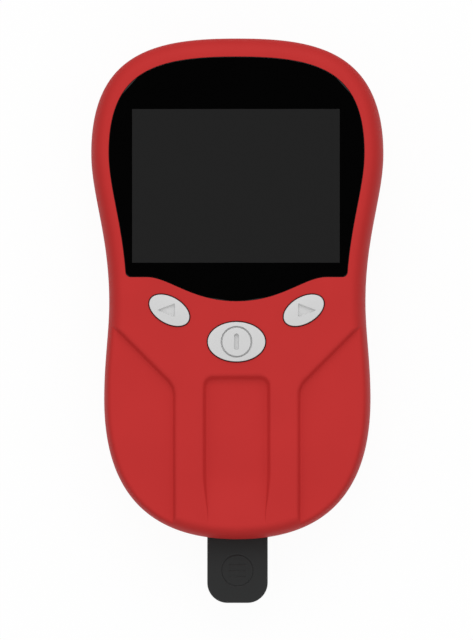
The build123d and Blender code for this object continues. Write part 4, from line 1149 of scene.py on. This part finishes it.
def repeated(name, tree, places, material, turn=UPWARDS, turns=0.0, **sizes):
    """One mesh with a tree's piece at each place, from sizes in millimetres."""
    mesh = bpy.data.meshes.new(name)
    points = (np.array(places, float) + (0, TAIL_Y, 0)) * METRES
    mesh.from_pydata(points.tolist(), [], [])
    seed = new_object(name + "_places", mesh)
    made = seed.modifiers.new("tree", "NODES")
    made.node_group = tree
    given = {"Finish": material, "Turn": turn, "Turns": turns}
    for size, value in sizes.items():
        given[size.replace("_", " ").title()] = value * METRES
    for socket in tree.interface.items_tree:
        if socket.in_out == "INPUT" and socket.name != "Places":
            made[socket.identifier] = given[socket.name]
    depsgraph = bpy.context.evaluated_depsgraph_get()
    result = bpy.data.meshes.new_from_object(seed.evaluated_get(depsgraph))
    bpy.data.objects.remove(seed)
    result.name = name
    obj = new_object(name, result)
    shade(obj)
    return obj


SCREW = screw_tree()
SMALL = {"crown_radius": 1.5, "head_radius": 1.8, "head_height": 1.2, "cross_length": 2.4, "cross_width": 0.5,
         "cross_height": 1.2, "second_height": 1.0, "core_radius": 0.8, "ridge_radius": 0.15}
LARGE = {"crown_radius": 1.85, "head_radius": 2.2, "head_height": 1.8, "cross_length": 2.8,
         "cross_width": 0.6, "cross_height": 1.6, "second_height": 1.4, "core_radius": 1.05,
         "ridge_radius": 0.2}
OPTICS_SCREWS = [(0, 9.75), (0, 37.35)]
THREAD_SHARE = 0.9
FOOT_RING_HALF = 0.16
for node, name, spots, top_z, length, pitch, turn, sizes in (
        ("case_screws", "casing_screws", CASE_SCREWS, 2.4, 16.1, 0.9, UPWARDS, LARGE),
        ("main_board_screws", "board_screws", BOARD_POSTS, 16.5, 5.0, 0.6, UPWARDS, SMALL),
        ("tray_guide_screws", "guide_screws", GUIDE_POSTS, 12.6, 5.0, 0.6, DOWNWARDS, SMALL),
        ("optics_screws", "optics_block_screws", OPTICS_SCREWS, 23.2, 6.7, 0.6, DOWNWARDS, SMALL)):
    thread = THREAD_SHARE * length
    made = repeated(name, SCREW, [(*spot, top_z) for spot in spots], zinc_steel, turn, shank_length=length,
                    thread_length=thread, turns=thread / pitch, **sizes)
    place_piece(made, [zinc_steel], "housing", "screw_steel", node)
feet = repeated("rubber_feet_set", foot_tree(), [(*spot, FOOT_RING_HALF) for spot in FEET], black_rubber_and_gap_shade,
                sole_radius=3.76, radius=4.0, draft_height=0.4, straight_height=0.74, inner_ring=1.8,
                outer_ring=3.0, ring_half=FOOT_RING_HALF)
place_piece(feet, [black_rubber_and_gap_shade], "housing", "foot_rubber", "rubber_feet")
spots = [(-CELL_X, BAY_Y[0] + 0.7, CELL_Z), (CELL_X, BAY_Y[0] + 0.7, CELL_Z), (0, BAY_Y[1] - 4.7, CELL_Z)]
springs = repeated("contact_springs", spring_tree(), spots, nickel_steel, TO_THE_HEAD, radius=2.5,
                   wire_radius=0.3, height=4.0, turns=2.8)
place_piece(springs, [nickel_steel], "housing", "spring_steel", "battery_springs")

# The solids that stay as they are, each with its finish
FINISHES = (
    (foam, "window_gasket", "display_foam", "door_foam"),
    (display, "display_panel"),
    (inner_nylon, "display_frame", "optics_housing", "tray_guide", "key_switches", "tray_switch",
     "left_key_plunger", "right_key_plunger", "power_key_plunger"),
    (flat_cable, "display_flex", "optics_flex"),
    (ivory_nylon, "display_connector", "optics_connector"),
    (solder_mask, "main_board", "optics_board"),
    (epoxy, "processor", "memory_chip", "board_components", "buzzer", "photodiode"),
    (nickel_steel, "battery_contacts", "tray_leaf_spring", "usb_port"),
    (clear_acrylic, "measuring_led", "reference_led", "detector_lens", "optics_window"),
    (polyester_strip, "test_strip"),
)
for material, *names in FINISHES:
    for name in names:
        node = paint(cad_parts[name], material)
        weld = node.modifiers.new("weld", "WELD")
        weld.merge_threshold = 1e-6
        shade(node, 25)

# The floor: plain and pale. It keeps a faint shadow of the object, is seen from above only, and lets soft
# light up past it.
FLOOR_GLOW = 0.95
floor_mesh = bpy.data.meshes.new("floor")
floor_mesh.from_pydata([(-3, -3, 0), (3, -3, 0), (3, 3, 0), (-3, 3, 0)], [], [(0, 1, 2, 3)])
floor = new_object("floor", floor_mesh)
floor_paint = bpy.data.materials.new("pale_floor")
floor_paint.use_nodes = True
tree = floor_paint.node_tree
tree.nodes.clear()
card = add_node(tree, "ShaderNodeBsdfDiffuse", {"Color": (0.9, 0.9, 0.9, 1.0)})
glow = add_node(tree, "ShaderNodeEmission", {"Color": (1.0, 1.0, 1.0, 1.0), "Strength": 1.0})
rays = add_node(tree, "ShaderNodeLightPath")
seen = add_node(tree, "ShaderNodeMath", {0: rays.outputs["Is Camera Ray"], 1: rays.outputs["Is Glossy Ray"]},
                operation="MAXIMUM")
seen = add_node(tree, "ShaderNodeMath", {0: seen, 1: rays.outputs["Is Transmission Ray"]},
                operation="MAXIMUM")
pale = add_node(tree, "ShaderNodeMixShader", {0: FLOOR_GLOW, 1: card, 2: glow})
clear = add_node(tree, "ShaderNodeBsdfTransparent")
front = add_node(tree, "ShaderNodeMixShader", {0: seen, 1: clear, 2: pale})
behind = add_node(tree, "ShaderNodeNewGeometry").outputs["Backfacing"]
both = add_node(tree, "ShaderNodeMixShader", {0: behind, 1: front, 2: clear})
add_node(tree, "ShaderNodeOutputMaterial", {"Surface": both})
paint(floor, floor_paint)

# Soft studio light: a sky that is brighter overhead and dim below the floor's level. Gloss sees white walls
# under a dark ceiling patch, which the window mirrors to a camera overhead.
HORIZON_LEVEL = 0.58
OVERHEAD_RISE = 0.34
GROUND_LEVEL = 0.12
PATCH_START, PATCH_FULL = 0.94, 0.978
PATCH_LEVEL = 0.004
world = bpy.data.worlds.new("studio")
bpy.context.scene.world = world
world.use_nodes = True
tree = world.node_tree
tree.nodes.clear()
way = add_node(tree, "ShaderNodeSeparateXYZ", {0: add_node(tree, "ShaderNodeTexCoord").outputs["Generated"]})
rise = add_node(tree, "ShaderNodeMath", {0: way.outputs["Z"], 1: OVERHEAD_RISE, 2: HORIZON_LEVEL},
                operation="MULTIPLY_ADD")
above = add_node(tree, "ShaderNodeMapRange", {"Value": way.outputs["Z"], "From Min": -0.05, "From Max": 0.05,
                                              "To Min": 0.0, "To Max": 1.0})
level = add_node(tree, "ShaderNodeMix", {"Factor": above, "A": GROUND_LEVEL, "B": rise})
ceiling = add_node(tree, "ShaderNodeMapRange", {"Value": way.outputs["Z"], "From Min": PATCH_START,
                                                "From Max": PATCH_FULL, "To Min": 1.0,
                                                "To Max": PATCH_LEVEL})
rays = add_node(tree, "ShaderNodeLightPath")
mirrored = add_node(tree, "ShaderNodeMath", {
    0: rays.outputs["Is Glossy Ray"], 1: rays.outputs["Is Transmission Ray"]}, operation="MAXIMUM")
strength = add_node(tree, "ShaderNodeMix", {"Factor": mirrored, "A": level, "B": ceiling})
seen = add_node(tree, "ShaderNodeMix", {"Factor": rays.outputs["Is Camera Ray"], "A": strength, "B": 1.0})
studio = add_node(tree, "ShaderNodeBackground", {"Color": (1.0, 1.0, 1.0, 1.0), "Strength": seen})
add_node(tree, "ShaderNodeOutputWorld", {"Surface": studio})


def lamp(name, place, size, watts):
    """A large soft lamp that faces the middle of the object."""
    light = bpy.data.lights.new(name, "AREA")
    light.shape = "DISK"
    light.size = size
    light.energy = watts
    obj = new_object(name, light)
    obj.location = place
    obj.rotation_euler = (-Vector(place)).to_track_quat("-Z", "Y").to_euler()


# A lamp high over the head end leads the shading, and one under the floor lights the back
lamp("head_lamp", (0.0, 1.2, 1.34), 1.5, 9.8)
lamp("back_lamp", (0.0, 0.0, -1.5), 5.0, 48.0)

# The camera looks down on the front, from a little to the right, as the photograph does
IMAGE_HEIGHT = 640
PIXELS_PER_MM = 3.6
CAMERA_PLACE = Vector((0.059, 0.00031, 3.0))
AIM = Vector((-0.00013, 0.00031, 0.021))
photo = bpy.data.cameras.new("photo_camera")
camera = new_object("photo_camera", photo)
photo.sensor_width = 36.0
photo.lens = photo.sensor_width * (CAMERA_PLACE - AIM).length / (IMAGE_HEIGHT / PIXELS_PER_MM * METRES)
photo.clip_end = 20.0
camera.location = CAMERA_PLACE
camera.rotation_euler = (0.0, math.atan2((CAMERA_PLACE - AIM).x, (CAMERA_PLACE - AIM).z), 0.0)
bpy.context.scene.camera = camera

bpy.context.scene.view_settings.view_transform = "Standard"
